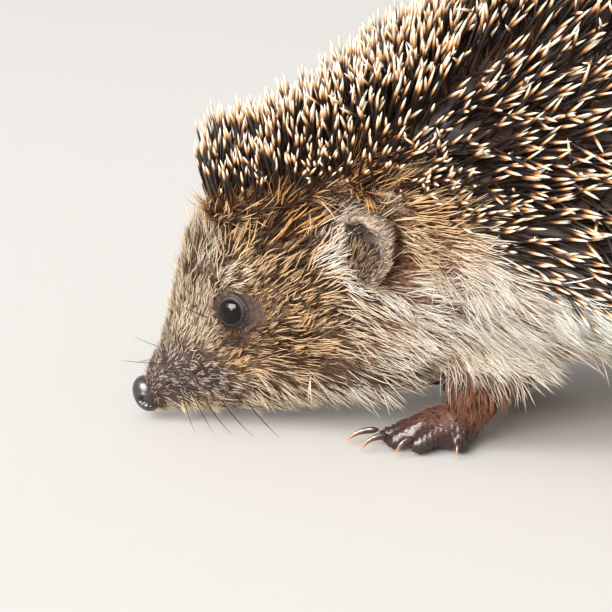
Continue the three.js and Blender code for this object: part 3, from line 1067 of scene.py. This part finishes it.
def skin_colours(points):
    """The skin's colour: under the fur the fur's own, darkened; bare skin where there is none."""
    place = animal_place(points)
    back, up = place[:, 1], place[:, 2]
    near_eye = eye_patch(place)
    dark, light, share = colours_of_fur(place)
    colour = (dark + (light - dark) * (share * 0.5)[:, None]) * 0.5
    skin = {name: linear(*values) for name, values in SKIN.items()}
    colour = blended(colour, skin["under the spines"], smoothstep(-4, 4, above_spine_edge(place)))
    colour = blended(colour, skin["muzzle"], smoothstep(20, 12, back) * smoothstep(21, 14, up))
    for side in SIDES:
        centre, _ = eye_frame(side)
        distance = np.linalg.norm(points - centre, axis=1) / MM
        patch = np.where(distance < 12, smoothstep(1.5, 1.0, near_eye), 0)
        colour = blended(colour, skin["round the eye"], patch)
        rear = patch * smoothstep(25.5, 28, back) * smoothstep(0.6, 0.8, near_eye)
        colour = blended(colour, skin["behind the eye"], 0.4 * rear)
        colour = blended(colour, skin["lids"], smoothstep(4.8, 4.0, distance))
        colour = blended(colour, skin["edge of the lids"], smoothstep(3.5, 3.2, distance))
        ear = ear_place(points, side)
        # The pale patch on the rear wall of the ear's hollow is painted light, where that wall is lit.
        middle = np.exp(-((ear[:, 0] - 2.6) / 2.0) ** 2 - ((ear[:, 1] - 1.5) / 2.4) ** 2)
        bare = blended(skin["ear"], skin["lit wall in the ear"], middle)
        edge = blended(skin["rim of the ear"], skin["top of the rim"], smoothstep(2.0, 5.5, ear[:, 1]))
        rim = np.maximum(smoothstep(0.78, 0.92, ear_reach(ear)), smoothstep(-0.4, 0.6, ear[:, 2]))
        bare = blended(blended(bare, edge, rim), skin["pit of the ear"], ear_pit(ear))
        colour = blended(colour, bare, ear_leaf(ear))
    wart = smoothstep(1.3, 0.9, np.linalg.norm(mirrored(place) - np.array(WART), axis=1))
    colour = blended(colour, skin["wart"], wart)
    foot = blended(skin["toes"], skin["feet"], smoothstep(4, 9, up))
    return blended(colour, foot, limb_share(place))


def moist(points):
    """1 where the skin shines: on the toes and the rims of the lids."""
    place = animal_place(points)
    share = smoothstep(8, 4.5, place[:, 2]) * limb_share(place)
    for side in SIDES:
        distance = np.linalg.norm(points - eye_frame(side)[0], axis=1) / MM
        share = np.maximum(share, smoothstep(3.2, 3.0, distance))
    return share


# ---------------------------------------------------------------- eyes, nose and claws

def make_eye(side, material):
    """A plain glossy ball within the lids."""
    bm = bmesh.new()
    bmesh.ops.create_uvsphere(bm, u_segments=48, v_segments=32, radius=EYE["radius"] * MM)
    centre, _ = eye_frame(side)
    bmesh.ops.translate(bm, vec=Vector(centre), verts=bm.verts)
    eye = plain_object(f"{side}_eye", bm)
    finished(eye, material, replaced=[f"eye_{side}"])


NOSE = {"centre": (0, 3.1, 5.9), "half": (3.3, 2.9, 3.95), "tilt": 20.0}
# The hollows of a nostril: their places (back, up), how wide and how deep they are.
NOSTRIL = [((2.1, 5.2), 0.62, 1.5), ((2.9, 4.5), 0.45, 1.0), ((3.7, 4.1), 0.35, 0.7)]


def make_nose(material):
    """The wet pad of the nose, with a comma-shaped nostril each side and a groove in the middle."""
    bm = bmesh.new()
    bmesh.ops.create_uvsphere(bm, u_segments=72, v_segments=48, radius=1)
    lean = math.radians(NOSE["tilt"])
    for vertex in bm.verts:
        x, y, z = vertex.co
        square = 1 + 0.10 * (x * z) ** 2 + 0.06 * (y * z) ** 2
        x, y, z = (half * value * square for half, value in zip(NOSE["half"], (x, y, z)))
        back = NOSE["centre"][1] + y * math.cos(lean) - z * math.sin(lean)
        up = NOSE["centre"][2] + y * math.sin(lean) + z * math.cos(lean)
        dent = 0.0
        for (mouth_back, mouth_up), size, deep in NOSTRIL:
            away = math.hypot(back - mouth_back, up - mouth_up) / size
            dent = max(dent, deep * math.exp(-away ** 2 * 1.2)) * min(1, abs(x) / 0.8)
            x += math.copysign(0.16 * math.exp(-((away - 1.9) / 0.5) ** 2), x) * min(1, abs(x))
        groove = 0.35 * math.exp(-(x / 0.28) ** 2) * max(0.0, -y / NOSE["half"][1]) * (z < 1.5)
        inwards = max(0.0, 1 - dent / max(abs(x), 0.6))
        vertex.co = world_place((x * inwards, back + groove + 0.5 * dent, up))
    nose = plain_object("nose_pad", bm)
    finished(nose, material, replaced=["nose"])


def make_claw(node, material):
    """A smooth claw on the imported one, with how far each point lies from its root towards its tip."""
    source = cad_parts[node].data
    bm = bmesh.new()
    bm.from_mesh(source)
    bmesh.ops.remove_doubles(bm, verts=bm.verts, dist=0.01 * MM)
    claw = plain_object(node.replace("claw", "horn"), bm)
    smooth = claw.modifiers.new("Smooth", "SUBSURF")
    smooth.levels = smooth.render_levels = 2
    applied(claw)
    places = mesh_places(claw.data)
    tip = places[np.argmin(places[:, 2])]
    reach = np.linalg.norm(places - tip, axis=1)
    number_attribute(claw.data, "along", 1 - reach / reach.max())
    finished(claw, material, replaced=[node])


def nose_material():
    """Dark wet skin, finely grained and a little patchy."""
    material, tree, shader = new_material("nose", 0.3)
    grain = new_node(tree, "ShaderNodeTexVoronoi", [("Scale", 2600)], feature="DISTANCE_TO_EDGE")
    where = bumped(tree, shader, grain, "Distance", 0.35, 0.1 * MM)
    patchy = new_node(tree, "ShaderNodeTexNoise", [("Scale", 420)])
    dark, light = (*linear(40, 35, 37), 1), (*linear(66, 57, 58), 1)
    blend = new_node(tree, "ShaderNodeMix", [("A", dark), ("B", light)], data_type="RGBA")
    wired(tree,
          (where, "Object", patchy, "Vector"),
          (patchy, "Fac", blend, "Factor"),
          (blend, "Result", shader, "Base Color"))
    return material


def horn_material():
    """Claws that are dark at the root and pale at the tip."""
    material, tree, shader = new_material("horn", 0.24)
    ramp = ramp_along(tree, [
        (0.0, (58, 40, 38)), (0.4, (74, 48, 40)), (0.7, (150, 98, 66)), (1.0, (222, 176, 138))])
    wired(tree, (ramp, "Color", shader, "Base Color"))
    return material


# ---------------------------------------------------------------- making the animal

shading = strand_shading()
fur = fur_material("fur", shading, 0.42)
short_fur = fur_material("short_fur", shading, 0.35)
spine = spine_material()
eye, _, _ = new_material("eye", 0.04, 0.2, linear(22, 13, 11))
horn = horn_material()

skin = make_skin()
colour_attribute(skin.data, "markings", skin_colours(mesh_places(skin.data)))
number_attribute(skin.data, "moist", moist(mesh_places(skin.data)))
finished(skin, skin_material(), replaced=BODY + LEGS + FEET + EARS)
surface = skin_surface(skin.data)
for side in SIDES:
    make_eye(side, eye)
make_nose(nose_material())
for node in sorted(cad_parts):
    if node.startswith("claw_"):
        make_claw(node, horn)


# ---------------------------------------------------------------- spines

# Charts of (back from the nose tip, value). How far forwards a spine may lean; how far its tip may
# stand over the skin, and its width, in millimetres.
SPINE_LEAN = [(14, -0.16), (30, -0.4), (60, -1)]
SPINE_REACH = [(18, 22), (28, 18.5), (44, 15.5), (60, 11.8)]
SPINE_WIDTH = [(10, 0.76), (40, 0.78), (80, 0.80), (120, 0.87)]
SPINE_SHAPE = ([(0.0, 0.5), (0.72, 1.0), (0.91, 0.7)], 4, 1.0)
SPINES_TO_A_SQUARE = 4  # tried for each square millimetre, before they are spaced


def spine_density(points, normals):
    """Spines grow over the lower edge, on the crown only where the skin faces up, and not on the ears."""
    place = animal_place(points)
    rim = smoothstep(62, 54, place[:, 1])
    grows = (above_spine_edge(place) > 1.5 * rim - 1.5) & (normals[:, 2] > 0.3 * rim - 0.9 * (1 - rim))
    return SPINES_TO_A_SQUARE * grows * (on_an_ear(points) < 0.1)


def make_spines():
    """Banded spines, raised on the crown and laid back over the body."""
    roots = scattered(surface, spine_density)
    edge = above_spine_edge(roots.place)
    gap = 1.02 + 0.44 * smoothstep(40, 90, roots.place[:, 1])
    roots = roots.only(spaced_numbers(roots, gap * (1 - 0.12 * smoothstep(8, 0, edge))))
    place, normals = roots.place, roots.normals
    out, back = place[:, 0], place[:, 1]
    count = len(roots)
    edge = above_spine_edge(place)
    brow = smoothstep(34, 22, back)
    lie = unit(lie_of(SPINES, place, 6))
    lie = unit(lie + RANDOM.normal(0, 1, lie.shape) * (0.34 - 0.12 * smoothstep(10, 3, edge))[:, None])
    least = (0.36 - 0.1 * smoothstep(60, 80, back)) * smoothstep(22, 60, back)
    lie = unit(lie + normals * np.maximum(0, least - (lie * normals).sum(axis=1))[:, None])
    lie[:, 1] = np.maximum(lie[:, 1], chart(back, SPINE_LEAN))
    length = length_of(SPINES, place) * (1 - (0.25 + 0.15 * brow) * smoothstep(8 - 4 * brow, -1, edge))
    outward = (lie * normals).sum(axis=1)
    length = np.minimum(length, chart(back, SPINE_REACH) / np.maximum(outward, 0.3))
    length *= RANDOM.uniform(0.84 - 0.32 * brow, 1.1, count)
    width = chart(back, SPINE_WIDTH)
    width *= RANDOM.uniform(0.85, 1.15, count) * (1 - 0.1 * smoothstep(8, -1, edge))
    starts = unit(lie + 0.12 * normals)
    tone = RANDOM.uniform(0.86, 1.05, (count, 1))
    warmth = RANDOM.uniform(0.93, 1.0, count)
    colours = tone * np.column_stack([np.ones(count), warmth, warmth ** 2])
    bands = RANDOM.uniform(0.95, 1.45, count) + 0.3 * smoothstep(60, 30, back)
    rooted = roots.sunk(0.8)
    regions = [
        ("spines_crown", back < CROWN_END, "spines"),
        ("spines_left", (back >= CROWN_END) & (out >= 0), "spines"),
        ("spines_right", (back >= CROWN_END) & (out < 0), "spines"),
    ]
    strand_pieces(regions, rooted, SPINE_SHAPE, spine, True, starts=starts,
                  tips=tips_of(rooted.points, starts, lie, length), lengths=length, widths=width,
                  colours=colours, root_colours=colours, bands=bands)


make_spines()


# ---------------------------------------------------------------- fur of the body

# Charts by the height over the floor, by the way back, or by how near the eye is (see eye_patch).
LEG_HAIR = ((68, 43, 34), (156, 106, 80), 0.45)  # its dark and light colours, and the share of light
DOWN_THE_LEGS, OVER_THE_FEET = np.array([(0.15, 0.12, -0.97), (0.1, -0.9, -0.25)])  # how it lies
LEG_HAIR_LENGTH = [(2, 0.9), (5, 1.6), (9, 2.6), (14, 5), (20, 6.5)]
EYE_HAIR_LENGTH = [(0.85, 0.35), (1.4, 1)]
SOLES = [(0.8, 0), (2, 0.4), (3.2, 1)]
UNDERCOAT = [(0, 0.5), (3, 5), (6, 5.5), (20, 4), (40, 2.6), (60, 2), (90, 1.5), (200, 1.2)]
UNDERCOAT_LEGS = [(4, 1.2), (7, 2.6), (12, 1.4)]
GUARD_COVER = [(16, 1.3), (28, 1), (40, 1), (60, 2.3)]
GUARD_BY_EYE = [(0.9, 0.8), (1.3, 1)]
GUARD_LEGS = [(4, 1.2), (7, 2.6), (12, 1.3)]
HIND_LEGS = [(110, 1), (130, 0.5)]
# Charts by the length of the hairs: how thick they are, and how far apart the leaders of locks grow.
HAIR_WIDTH = [(1, 0.14), (3, 0.22), (7, 0.29), (14, 0.33)]
UNDERCOAT_LOCKS = [(1, 0.8), (5, 1.5)]
GUARD_LOCKS = [(2, 1.3), (7, 2.0), (14, 3.0)]
UNDERCOAT_SHAPE = ([(0.0, 1.0), (0.5, 0.85)], 3, 0.5)
GUARD_RINGS = [(0.0, 0.8), (0.3, 1.0), (0.6, 0.85), (0.82, 0.5)]
# What the roots of pale hairs take from the light, where the dark hairs are dark and where pale.
# Partly a browner base to each hair, partly painted shade deep in the coat.
ROOT_SHADE_TINT, PALE_ROOT_SHADE_TINT = np.array([(0.72, 0.5, 0.34), (0.98, 0.95, 0.9)])


def combed(roots):
    """The lie, length and colours of the fur at its roots, on the body and on the legs."""
    place = roots.place
    legs = limb_share(place)
    near_eye = eye_patch(place)
    up = place[:, 2]
    mirrors = np.column_stack([np.sign(place[:, 0]), np.ones((len(roots), 2))])
    on_legs = blended(DOWN_THE_LEGS * mirrors, OVER_THE_FEET * mirrors, smoothstep(11, 5, up))
    lie = blended(lie_of(GROOMING, place, 4), on_legs, legs)
    for side in SIDES:
        centre, axis = eye_frame(side)
        away = roots.points - centre
        near = smoothstep(5.0, 4.0, np.linalg.norm(away, axis=1) / MM)
        lie = blended(lie, unit(away - (away @ axis)[:, None] * axis), near)
    lie = along_skin(lie, roots.normals)
    length = length_of(GROOMING, place) * chart(near_eye, EYE_HAIR_LENGTH)
    length += legs * (chart(up, LEG_HAIR_LENGTH) - length)
    dark, light, share = colours_of_fur(place)
    dark = blended(dark, linear(*LEG_HAIR[0]), legs)
    light = blended(light, linear(*LEG_HAIR[1]), legs)
    light = blended(light, linear(150, 118, 98), smoothstep(1.4, 1.0, near_eye))
    share += legs * (LEG_HAIR[2] - share)
    return lie, length, dark, light, share


def fuzziness(place):
    """1 on the muzzle, where the hair is short and stands up."""
    return smoothstep(20, 14, place[:, 1]) * smoothstep(22, 15, place[:, 2])


def rising(roots):
    """The way the fur rises: along the normal, but on the body not forwards and hardly downwards."""
    share = 0.8 * smoothstep(45, 60, roots.place[:, 1]) * (1 - limb_share(roots.place))
    way = roots.normals.copy()
    way[:, 1] *= np.where(way[:, 1] < 0, 1 - share, 1)
    way[:, 2] *= np.where(way[:, 2] < 0, 1 - share, 1)
    return unit(way)


def fur_share(points):
    """1 where fur grows in full, 0 among the spines, on the ears and eyes and under the toes."""
    place = animal_place(points)
    edge = above_spine_edge(place)
    edge += 3 * smoothstep(66, 74, place[:, 1]) - 6 * smoothstep(62, 54, place[:, 1])
    share = smoothstep(3.5, -1.5, edge) * (1 - on_an_ear(points))
    share *= chart(place[:, 2], SOLES) ** limb_share(place)
    return share * ~near_an_eye(points, 3.45)


def fur_density(points, normals, density, thinner_below, leg_rows):
    """The given density, thinner on the belly, and on the legs as their own chart has it."""
    place = animal_place(points)
    below = smoothstep(-0.45, -0.8, normals[:, 2]) * smoothstep(50, 75, place[:, 1])
    density *= 1 - thinner_below * below
    on_legs = chart(place[:, 2], leg_rows) * chart(place[:, 1], HIND_LEGS)
    density += limb_share(place) * (on_legs - density)
    return density * fur_share(points)


def under_density(points, normals):
    density = chart(animal_place(points)[:, 1], UNDERCOAT)
    return fur_density(points, normals, density, 0.5, UNDERCOAT_LEGS)


def guard_density(points, normals):
    """Enough long hairs to cover the share of the skin that the chart gives them."""
    place = animal_place(points)
    length = length_of(GROOMING, place)
    _, _, share = colours_of_fur(place)
    cover = (0.4 + 3.6 * share ** 1.5) * chart(place[:, 1], GUARD_COVER)
    density = np.minimum(cover / (length * chart(length, HAIR_WIDTH)), 4.0)
    density *= chart(eye_patch(place), GUARD_BY_EYE)
    return fur_density(points, normals, density, 0.75, GUARD_LEGS)


def grown(prefix, roots, shape, material, **strands):
    """Strands sorted by where they grow into pieces of their own."""
    place = roots.place
    back, out = place[:, 1], place[:, 0]
    limb = limb_share(place) >= 0.5
    under = ~limb & (back >= NECK_END) & (roots.normals[:, 2] < -0.6)
    parts = [
        ("face", ~limb & (back < FACE_END), "face_fur"),
        ("neck", ~limb & (back >= FACE_END) & (back < NECK_END), "fur"),
        ("flank", ~limb & (back >= NECK_END) & ~under, "fur"),
    ]
    regions = [(f"{prefix}_{part}_{side}", chosen & (np.sign(out) == SIDES[side]), slot)
               for part, chosen, slot in parts for side in SIDES]
    regions += [
        (f"{prefix}_belly", under, "fur"),
        (f"{prefix}_forelegs", limb & (back < FORE_END), "leg_fur"),
        (f"{prefix}_hindlegs", limb & (back >= FORE_END), "leg_fur"),
    ]
    strand_pieces(regions, roots.sunk(0.25), shape, material, False, **strands)


def lift_of_fur(place, length):
    """How steeply the fur rises so that its tips end at the outline of the coat."""
    return np.clip(1.15 * coat_depth(place) / length, 0.1, 0.6)


def make_undercoat():
    """Short dark hair that fills the coat between the long hairs, darkened further with painted shade."""
    roots = scattered(surface, under_density)
    count = len(roots)
    lie, length, dark, light, share = combed(roots)
    lift = lift_of_fur(roots.place, length)[:, None]
    length = np.minimum(length * 0.6, 7.0) * RANDOM.uniform(0.7, 1.2, count)
    leader = leaders_of(roots, chart(length, UNDERCOAT_LOCKS))
    wander = wandering(leader) * (0.16 + 0.14 * fuzziness(roots.place))[:, None]
    rise = rising(roots)
    starts = unit(lie + rise * (lift + 0.15) + wander)
    ends = unit(lie + rise * lift * 0.5 + wander)
    tips = in_locks(roots.points, tips_of(roots.points, starts, ends, length), leader, 0.5)
    width = (1.1 + 0.4 * smoothstep(15, 50, roots.place[:, 1])) * chart(length, HAIR_WIDTH)
    width *= RANDOM.uniform(0.8, 1.2, count)
    colours = blended(dark, light, 0.3 * share * RANDOM.uniform(0, 1, count) ** 2)
    colours = blended(colours, light, 0.15 * smoothstep(0.86, 0.94, share))
    # Darkened below its colour, most where the hair is dark: painted shade deep in the coat.
    pale = colours.mean(axis=1)
    colours = colours * (0.5 + 0.4 * pale + RANDOM.uniform(0, 0.4, count) * (1 - 0.6 * pale))[:, None]
    # Roots at 0.6 of that colour: painted shade at the foot of the coat.
    grown("under", roots, UNDERCOAT_SHAPE, short_fur, starts=starts, tips=over_floor(tips),
          lengths=length, widths=width, colours=colours, root_colours=colours * 0.6)


def make_guard_hairs():
    """Long pale hairs, each of them seen by itself, over the undercoat."""
    roots = scattered(surface, guard_density)
    count = len(roots)
    lie, length, dark, light, _ = combed(roots)
    lift = lift_of_fur(roots.place, length)[:, None]
    length *= RANDOM.uniform(0.7, 1.2, count)
    leader = leaders_of(roots, chart(length, GUARD_LOCKS))
    jitter = 0.11 + 0.17 * smoothstep(3, 12, length) + 0.12 * fuzziness(roots.place)
    jitter = (jitter * (1 - 0.3 * smoothstep(44, 56, roots.place[:, 1])))[:, None]
    wander = wandering(leader) * jitter
    rise = rising(roots)
    starts = unit(lie + rise * (lift + 0.15) + wander)
    ends = unit(lie + rise * lift * 0.5 + wander + RANDOM.normal(0, 1, (count, 3)) * jitter)
    tips = in_locks(roots.points, tips_of(roots.points, starts, ends, length), leader, 0.6)
    width = chart(length, HAIR_WIDTH) * RANDOM.uniform(0.75, 1.25, count)
    width *= 1 - 0.35 * limb_share(roots.place)
    colours = blended(dark, light, 1 - 0.55 * RANDOM.uniform(0, 1, count) ** 3)
    colours = colours * RANDOM.uniform(0.88, 1.0, (count, 1))
    # The roots are browner than the tips: partly the hair's own base, partly painted shade deep in the
    # coat.
    root_shade_tint = blended(ROOT_SHADE_TINT, PALE_ROOT_SHADE_TINT, dark.mean(axis=1))
    root_colours = blended(dark, light * root_shade_tint, np.full(count, 0.5))
    grown("guard", roots, (GUARD_RINGS, 3, 0.5), fur, starts=starts, tips=over_floor(tips),
          lengths=length, widths=width, colours=colours, root_colours=root_colours)


make_undercoat()
make_guard_hairs()


# ---------------------------------------------------------------- fur of the ears, and whiskers

# Shapes as strand_piece takes them, widths in millimetres, densities to the square millimetre.
EAR_FUR_SHAPE = ([(0.0, 1.0), (0.5, 0.8)], 3, 0.6)
EAR_FUR_WIDTH = 0.19
EAR_FUR_DENSITY = 7
TUFT_DENSITY = 2.4
WHISKER_SHAPE = ([(0.0, 1.0), (0.2, 0.95), (0.4, 0.85), (0.6, 0.7), (0.8, 0.45)], 4, 1.0)
WHISKER_WIDTH = 0.24


def ear_fur_density(points, normals):
    """Fine hair all over an ear, thin in its hollow."""
    density = on_an_ear(points) * EAR_FUR_DENSITY
    for side in SIDES:
        place = ear_place(points, side)
        inner = (normals @ ear_frame(side)[3] > 0.2) * smoothstep(0.85, 0.65, ear_reach(place))
        high = smoothstep(-3.5, 0, place[:, 1])
        density *= 1 - inner * np.maximum(0.7 * high, 0.85 * ear_pit(place))
    return density


def make_ear_fur():
    """Short fine hair fanned over the leaf of each ear, paler along its rim and its foot."""
    roots = scattered(surface, ear_fur_density)
    count = len(roots)
    starts, ends, colours = np.zeros((3, count, 3))
    length, patches = np.zeros(count), np.zeros((count, 2))
    dice = RANDOM.uniform(0, 1, (count, 3))
    for number, side in enumerate(SIDES):
        of_side = np.sign(roots.points[:, 0]) == SIDES[side]
        _, rearward, tip, facing = ear_frame(side)
        place = ear_place(roots.points, side)
        reach = ear_reach(place)
        inner = (roots.normals @ facing > 0.2) & (reach < 0.98)
        rim = np.maximum(smoothstep(0.74, 0.9, reach), smoothstep(-0.4, 0.6, place[:, 2]))
        low = smoothstep(0, -5, place[:, 1]) * (1 - rim)
        fan = place[:, :1] / EAR["half_width"]
        lie = tip + (0.35 + 0.6 * fan) * rearward + 0.5 * inner[:, None] * (1 - rim[:, None]) * facing
        flat = along_skin(lie, roots.normals)
        lift = np.where(inner, 0.6, 0.3)[:, None]
        pale = np.where(inner, 0.25 + 0.55 * rim + 0.4 * low, 0.5) > dice[:, 0]
        dark = blended(linear(*HAIR["sable"]), linear(132, 108, 90), rim)
        light = blended(linear(196, 166, 132), linear(226, 206, 184), rim)
        quarter = np.column_stack([0.5 * inner, np.full(count, 0.5 * number)])
        for values, of_ear in (
            (starts, unit(flat + roots.normals * lift)),
            (ends, unit(flat + 0.15 * roots.normals)),
            (length, np.where(inner, 1.6 + 3.0 * low + 0.6 * rim, 1.8)),
            (colours, np.where(pale[:, None], light, dark)),
            (patches, spread(place[:, :2]) * 0.48 + quarter),
        ):
            values[of_side] = of_ear[of_side]
    length *= 0.75 + 0.5 * dice[:, 1]
    colours *= 0.8 + 0.2 * dice[:, 2:]
    starts, ends = jittered(starts, 0.16), jittered(ends, 0.22)
    tips = tips_of(roots.points, starts, ends, length)
    tips = in_locks(roots.points, tips, leaders_of(roots, np.full(count, 1.1)), 0.5)
    # Roots at half the hair's colour: painted shade at the foot of the fur.
    piece = strand_piece("fur_ears", roots, EAR_FUR_SHAPE, patches, starts, tips, length,
                         np.full(count, EAR_FUR_WIDTH), colours, colours * 0.5)
    finished(piece, short_fur, smooth=False)


# Rows of long pale hairs on the head round the front and the foot of each ear, in the ear's own
# terms (rearward, tipward): where they grow, how wide the row is, the way they sweep (rearward,
# tipward, facing), and their length.
EAR_TUFTS = [
    ((-8.6, -2.0), (2.4, 5.5), (0.55, 0.80, 0.20), 6.0),
    ((-8.0, -8.5), (2.6, 3.5), (0.45, 0.84, 0.25), 7.5),
    ((-2.0, -10.4), (4.0, 1.8), (0.85, 0.35, 0.30), 7.5),
    ((4.5, -9.6), (3.5, 1.8), (0.95, 0.10, 0.30), 9.0),
]


def from_tufts(place):
    """How far places in an ear's own terms are from each row of EAR_TUFTS, in its widths, squared."""
    return np.array([((place[:, 0] - rearward) / wide) ** 2 + ((place[:, 1] - tipward) / high) ** 2
                     for (rearward, tipward), (wide, high), _, _ in EAR_TUFTS]).T


def tuft_density(points, _):
    """Long hairs along the rows of EAR_TUFTS, on the head beside the ear."""
    density = np.zeros(len(points))
    for side in SIDES:
        place = ear_place(points, side)
        off = smoothstep(12, 8, np.abs(place[:, 2])) * (ear_reach(place) > 0.9)
        rows = TUFT_DENSITY * np.exp(-from_tufts(place) ** 2)
        density = np.maximum(density, rows.max(axis=1) * off)
    return density


def make_ear_tufts():
    """The long pale hairs that sweep over the front and the foot of the ears."""
    roots = scattered(surface, tuft_density)
    count = len(roots)
    lie, length = np.zeros((count, 3)), np.zeros(count)
    for side in SIDES:
        of_side = np.sign(roots.points[:, 0]) == SIDES[side]
        place = ear_place(roots.points, side)
        nearness = 1 / (0.02 + from_tufts(place))
        nearness /= nearness.sum(axis=1, keepdims=True)
        sweep = nearness @ np.array([row[2] for row in EAR_TUFTS]) @ np.array(ear_frame(side)[1:])
        lie[of_side] = sweep[of_side]
        length[of_side] = (nearness @ np.array([row[3] for row in EAR_TUFTS]))[of_side]
    length *= RANDOM.uniform(0.7, 1.15, count)
    leader = leaders_of(roots, np.full(count, 2.2))
    wander = wandering(leader) * 0.13
    starts = unit(lie + 0.25 * roots.normals + wander)
    ends = unit(lie + wander + RANDOM.normal(0, 0.15, (count, 3)))
    tips = in_locks(roots.points, tips_of(roots.points, starts, ends, length), leader, 0.4)
    tone = RANDOM.uniform(0.85, 1.0, (count, 1))
    golden = 0.4 * RANDOM.uniform(0, 1, count) ** 2
    colours = blended(linear(*HAIR["ivory"]), linear(*HAIR["gold"]), golden) * tone
    root_colours = linear(*HAIR["gold"]) * tone * 0.8
    piece = strand_piece("ear_tufts", roots, (GUARD_RINGS, 3, 0.6), body_unwrap(roots), starts, tips,
                         length, chart(length, HAIR_WIDTH), colours, root_colours)
    finished(piece, fur, smooth=False)


# Root (out, back, up), the way it leaves, the way it ends (out, back, up) and its length.
WHISKERS = [
    ((4.2, 8.0, 14.5), (0.5, -0.8, 0.2), (0.35, -0.9, 0.25), 12),
    ((4.6, 8.5, 12.0), (0.6, -0.7, -0.1), (0.5, -0.8, -0.4), 12),
    ((5.2, 8.0, 9.5), (0.9, -0.3, 0.1), (0.9, -0.1, -0.3), 15),
    ((5.6, 10.0, 11.5), (0.9, 0.0, 0.4), (0.9, 0.3, 0.1), 17),
    ((6.2, 11.0, 9.0), (0.9, 0.2, 0.1), (0.8, 0.5, -0.3), 16),
    ((6.6, 12.5, 12.0), (0.8, 0.3, 0.5), (0.8, 0.6, 0.2), 16),
    ((6.8, 13.0, 7.0), (0.9, 0.3, -0.3), (0.7, 0.5, -0.5), 13),
    ((6.0, 11.5, 5.5), (0.8, 0.2, -0.4), (0.6, 0.3, -0.5), 11),
    ((7.6, 16.0, 5.5), (0.8, 0.4, -0.4), (0.7, 0.6, -0.4), 13),
    ((8.6, 20.0, 5.2), (0.8, 0.5, -0.4), (0.7, 0.7, -0.35), 13),
    ((9.8, 25.5, 5.5), (0.8, 0.5, -0.4), (0.7, 0.7, -0.35), 12),
    ((11.4, 15.4, 25.5), (0.7, -0.6, 0.4), (0.7, -0.4, 0.5), 9),
    ((11.4, 17.5, 31.5), (0.7, -0.2, 0.7), (0.7, 0.1, 0.7), 10),
]


def make_whiskers():
    """Stiff dark bristles on both sides of the muzzle and over the eyes."""
    points, starts, ends, lengths = [], [], [], []
    for place, leaving, ending, length in WHISKERS:
        for sign in SIDES.values():
            spot = np.array(place) + RANDOM.normal(0, 0.25, 3)
            points.append(world_place(spot * (sign, 1, 1)))
            starts.append(np.array(leaving) * (sign, 1, 1) + RANDOM.normal(0, 0.06, 3))
            ends.append(np.array(ending) * (sign, 1, 1) + RANDOM.normal(0, 0.08, 3))
            lengths.append(length * RANDOM.uniform(0.9, 1.1))
    points, starts, ends = np.array(points), unit(np.array(starts)), unit(np.array(ends))
    lengths = np.array(lengths)
    roots = Roots(points - starts * 1.5 * MM, unit(np.cross(starts, (0.1, 0.3, 1.0))))
    tips = over_floor(tips_of(roots.points, starts, ends, lengths))
    colours = linear(64, 40, 34) * RANDOM.uniform(0.7, 1.6, (len(roots), 1))
    piece = strand_piece("whiskers", roots, WHISKER_SHAPE, body_unwrap(roots), starts, tips, lengths,
                         np.full(len(roots), WHISKER_WIDTH), colours, colours)
    finished(piece, short_fur)


make_ear_fur()
make_ear_tufts()
make_whiskers()


# ---------------------------------------------------------------- floor, light and camera

VIEW_CENTRE = (0, 36.75, 24.9)  # the place on the animal at the middle of the frame
VIEW_HEIGHT = math.radians(14)  # over the level
VIEW_DISTANCE = 0.535
VIEW_LENS, VIEW_SENSOR = 100, 24
FLOOR_COLOUR = linear(217, 215, 212)
LAMP_COLOUR = (1, 0.98, 0.955)
ROOM_COLOUR = (1, 0.985, 0.965, 1)
ROOM_STRENGTH, SEEN_ROOM_STRENGTH = 0.54, 0.93  # as a light, and as the camera and mirrors see it


def make_stage():
    """A plain pale floor."""
    sheet = bmesh.new()
    bmesh.ops.create_grid(sheet, x_segments=1, y_segments=1, size=6)
    floor = plain_object("floor", sheet)
    floor.data.materials.append(new_material("pale_floor", 0.9, colour=FLOOR_COLOUR)[0])


def lamp(name, kind, place, energy):
    """A lamp that looks at the middle of the view."""
    light = bpy.data.lights.new(name, kind)
    light.energy = energy
    light.color = LAMP_COLOUR
    holder = new_object(name, light)
    holder.location = place
    aim = world_place(VIEW_CENTRE) - holder.location
    holder.rotation_euler = aim.to_track_quat("-Z", "Y").to_euler()
    return light


def make_light():
    """A pale room, soft light of the sky, a window, and a lamp that is only mirrored."""
    world = bpy.data.worlds.new("pale_room")
    bpy.context.scene.world = world
    world.use_nodes = True
    background = world.node_tree.nodes["Background"]
    background.inputs["Color"].default_value = ROOM_COLOUR
    tree = world.node_tree
    rays = new_node(tree, "ShaderNodeLightPath")
    seen = new_node(tree, "ShaderNodeMath", operation="MAXIMUM")
    strength = new_node(tree, "ShaderNodeMapRange",
                        [("To Min", ROOM_STRENGTH), ("To Max", SEEN_ROOM_STRENGTH)])
    wired(tree,
          (rays, "Is Camera Ray", seen, 0),
          (rays, "Is Glossy Ray", seen, 1),
          (seen, "Value", strength, "Value"),
          (strength, "Result", background, "Strength"))
    lamp("sky", "SUN", (1.0, -0.45, 0.46), 2.6).angle = math.radians(25)
    for name, place, energy, width, height in (("window", (1.6, -1.9, 2.1), 68.0, 3.2, 1.8),
                                               ("catchlight", (0.75, -0.35, 0.8), 64.0, 1.1, 0.6)):
        light = lamp(name, "AREA", place, energy)
        light.shape = "RECTANGLE"
        light.size, light.size_y = width, height
    bpy.data.objects["catchlight"].visible_diffuse = False


def make_camera():
    """The camera, to the animal's left and a little above it."""
    camera = new_object("camera", bpy.data.cameras.new("camera"))
    camera.data.sensor_width = VIEW_SENSOR
    camera.data.lens = VIEW_LENS
    camera.data.clip_start = 0.01
    out = Vector((math.cos(VIEW_HEIGHT), 0, math.sin(VIEW_HEIGHT)))
    camera.location = world_place(VIEW_CENTRE) + out * VIEW_DISTANCE
    camera.rotation_euler = (-out).to_track_quat("-Z", "Y").to_euler()
    bpy.context.scene.camera = camera


make_stage()
make_light()
make_camera()
bpy.context.scene.view_settings.view_transform = "Standard"
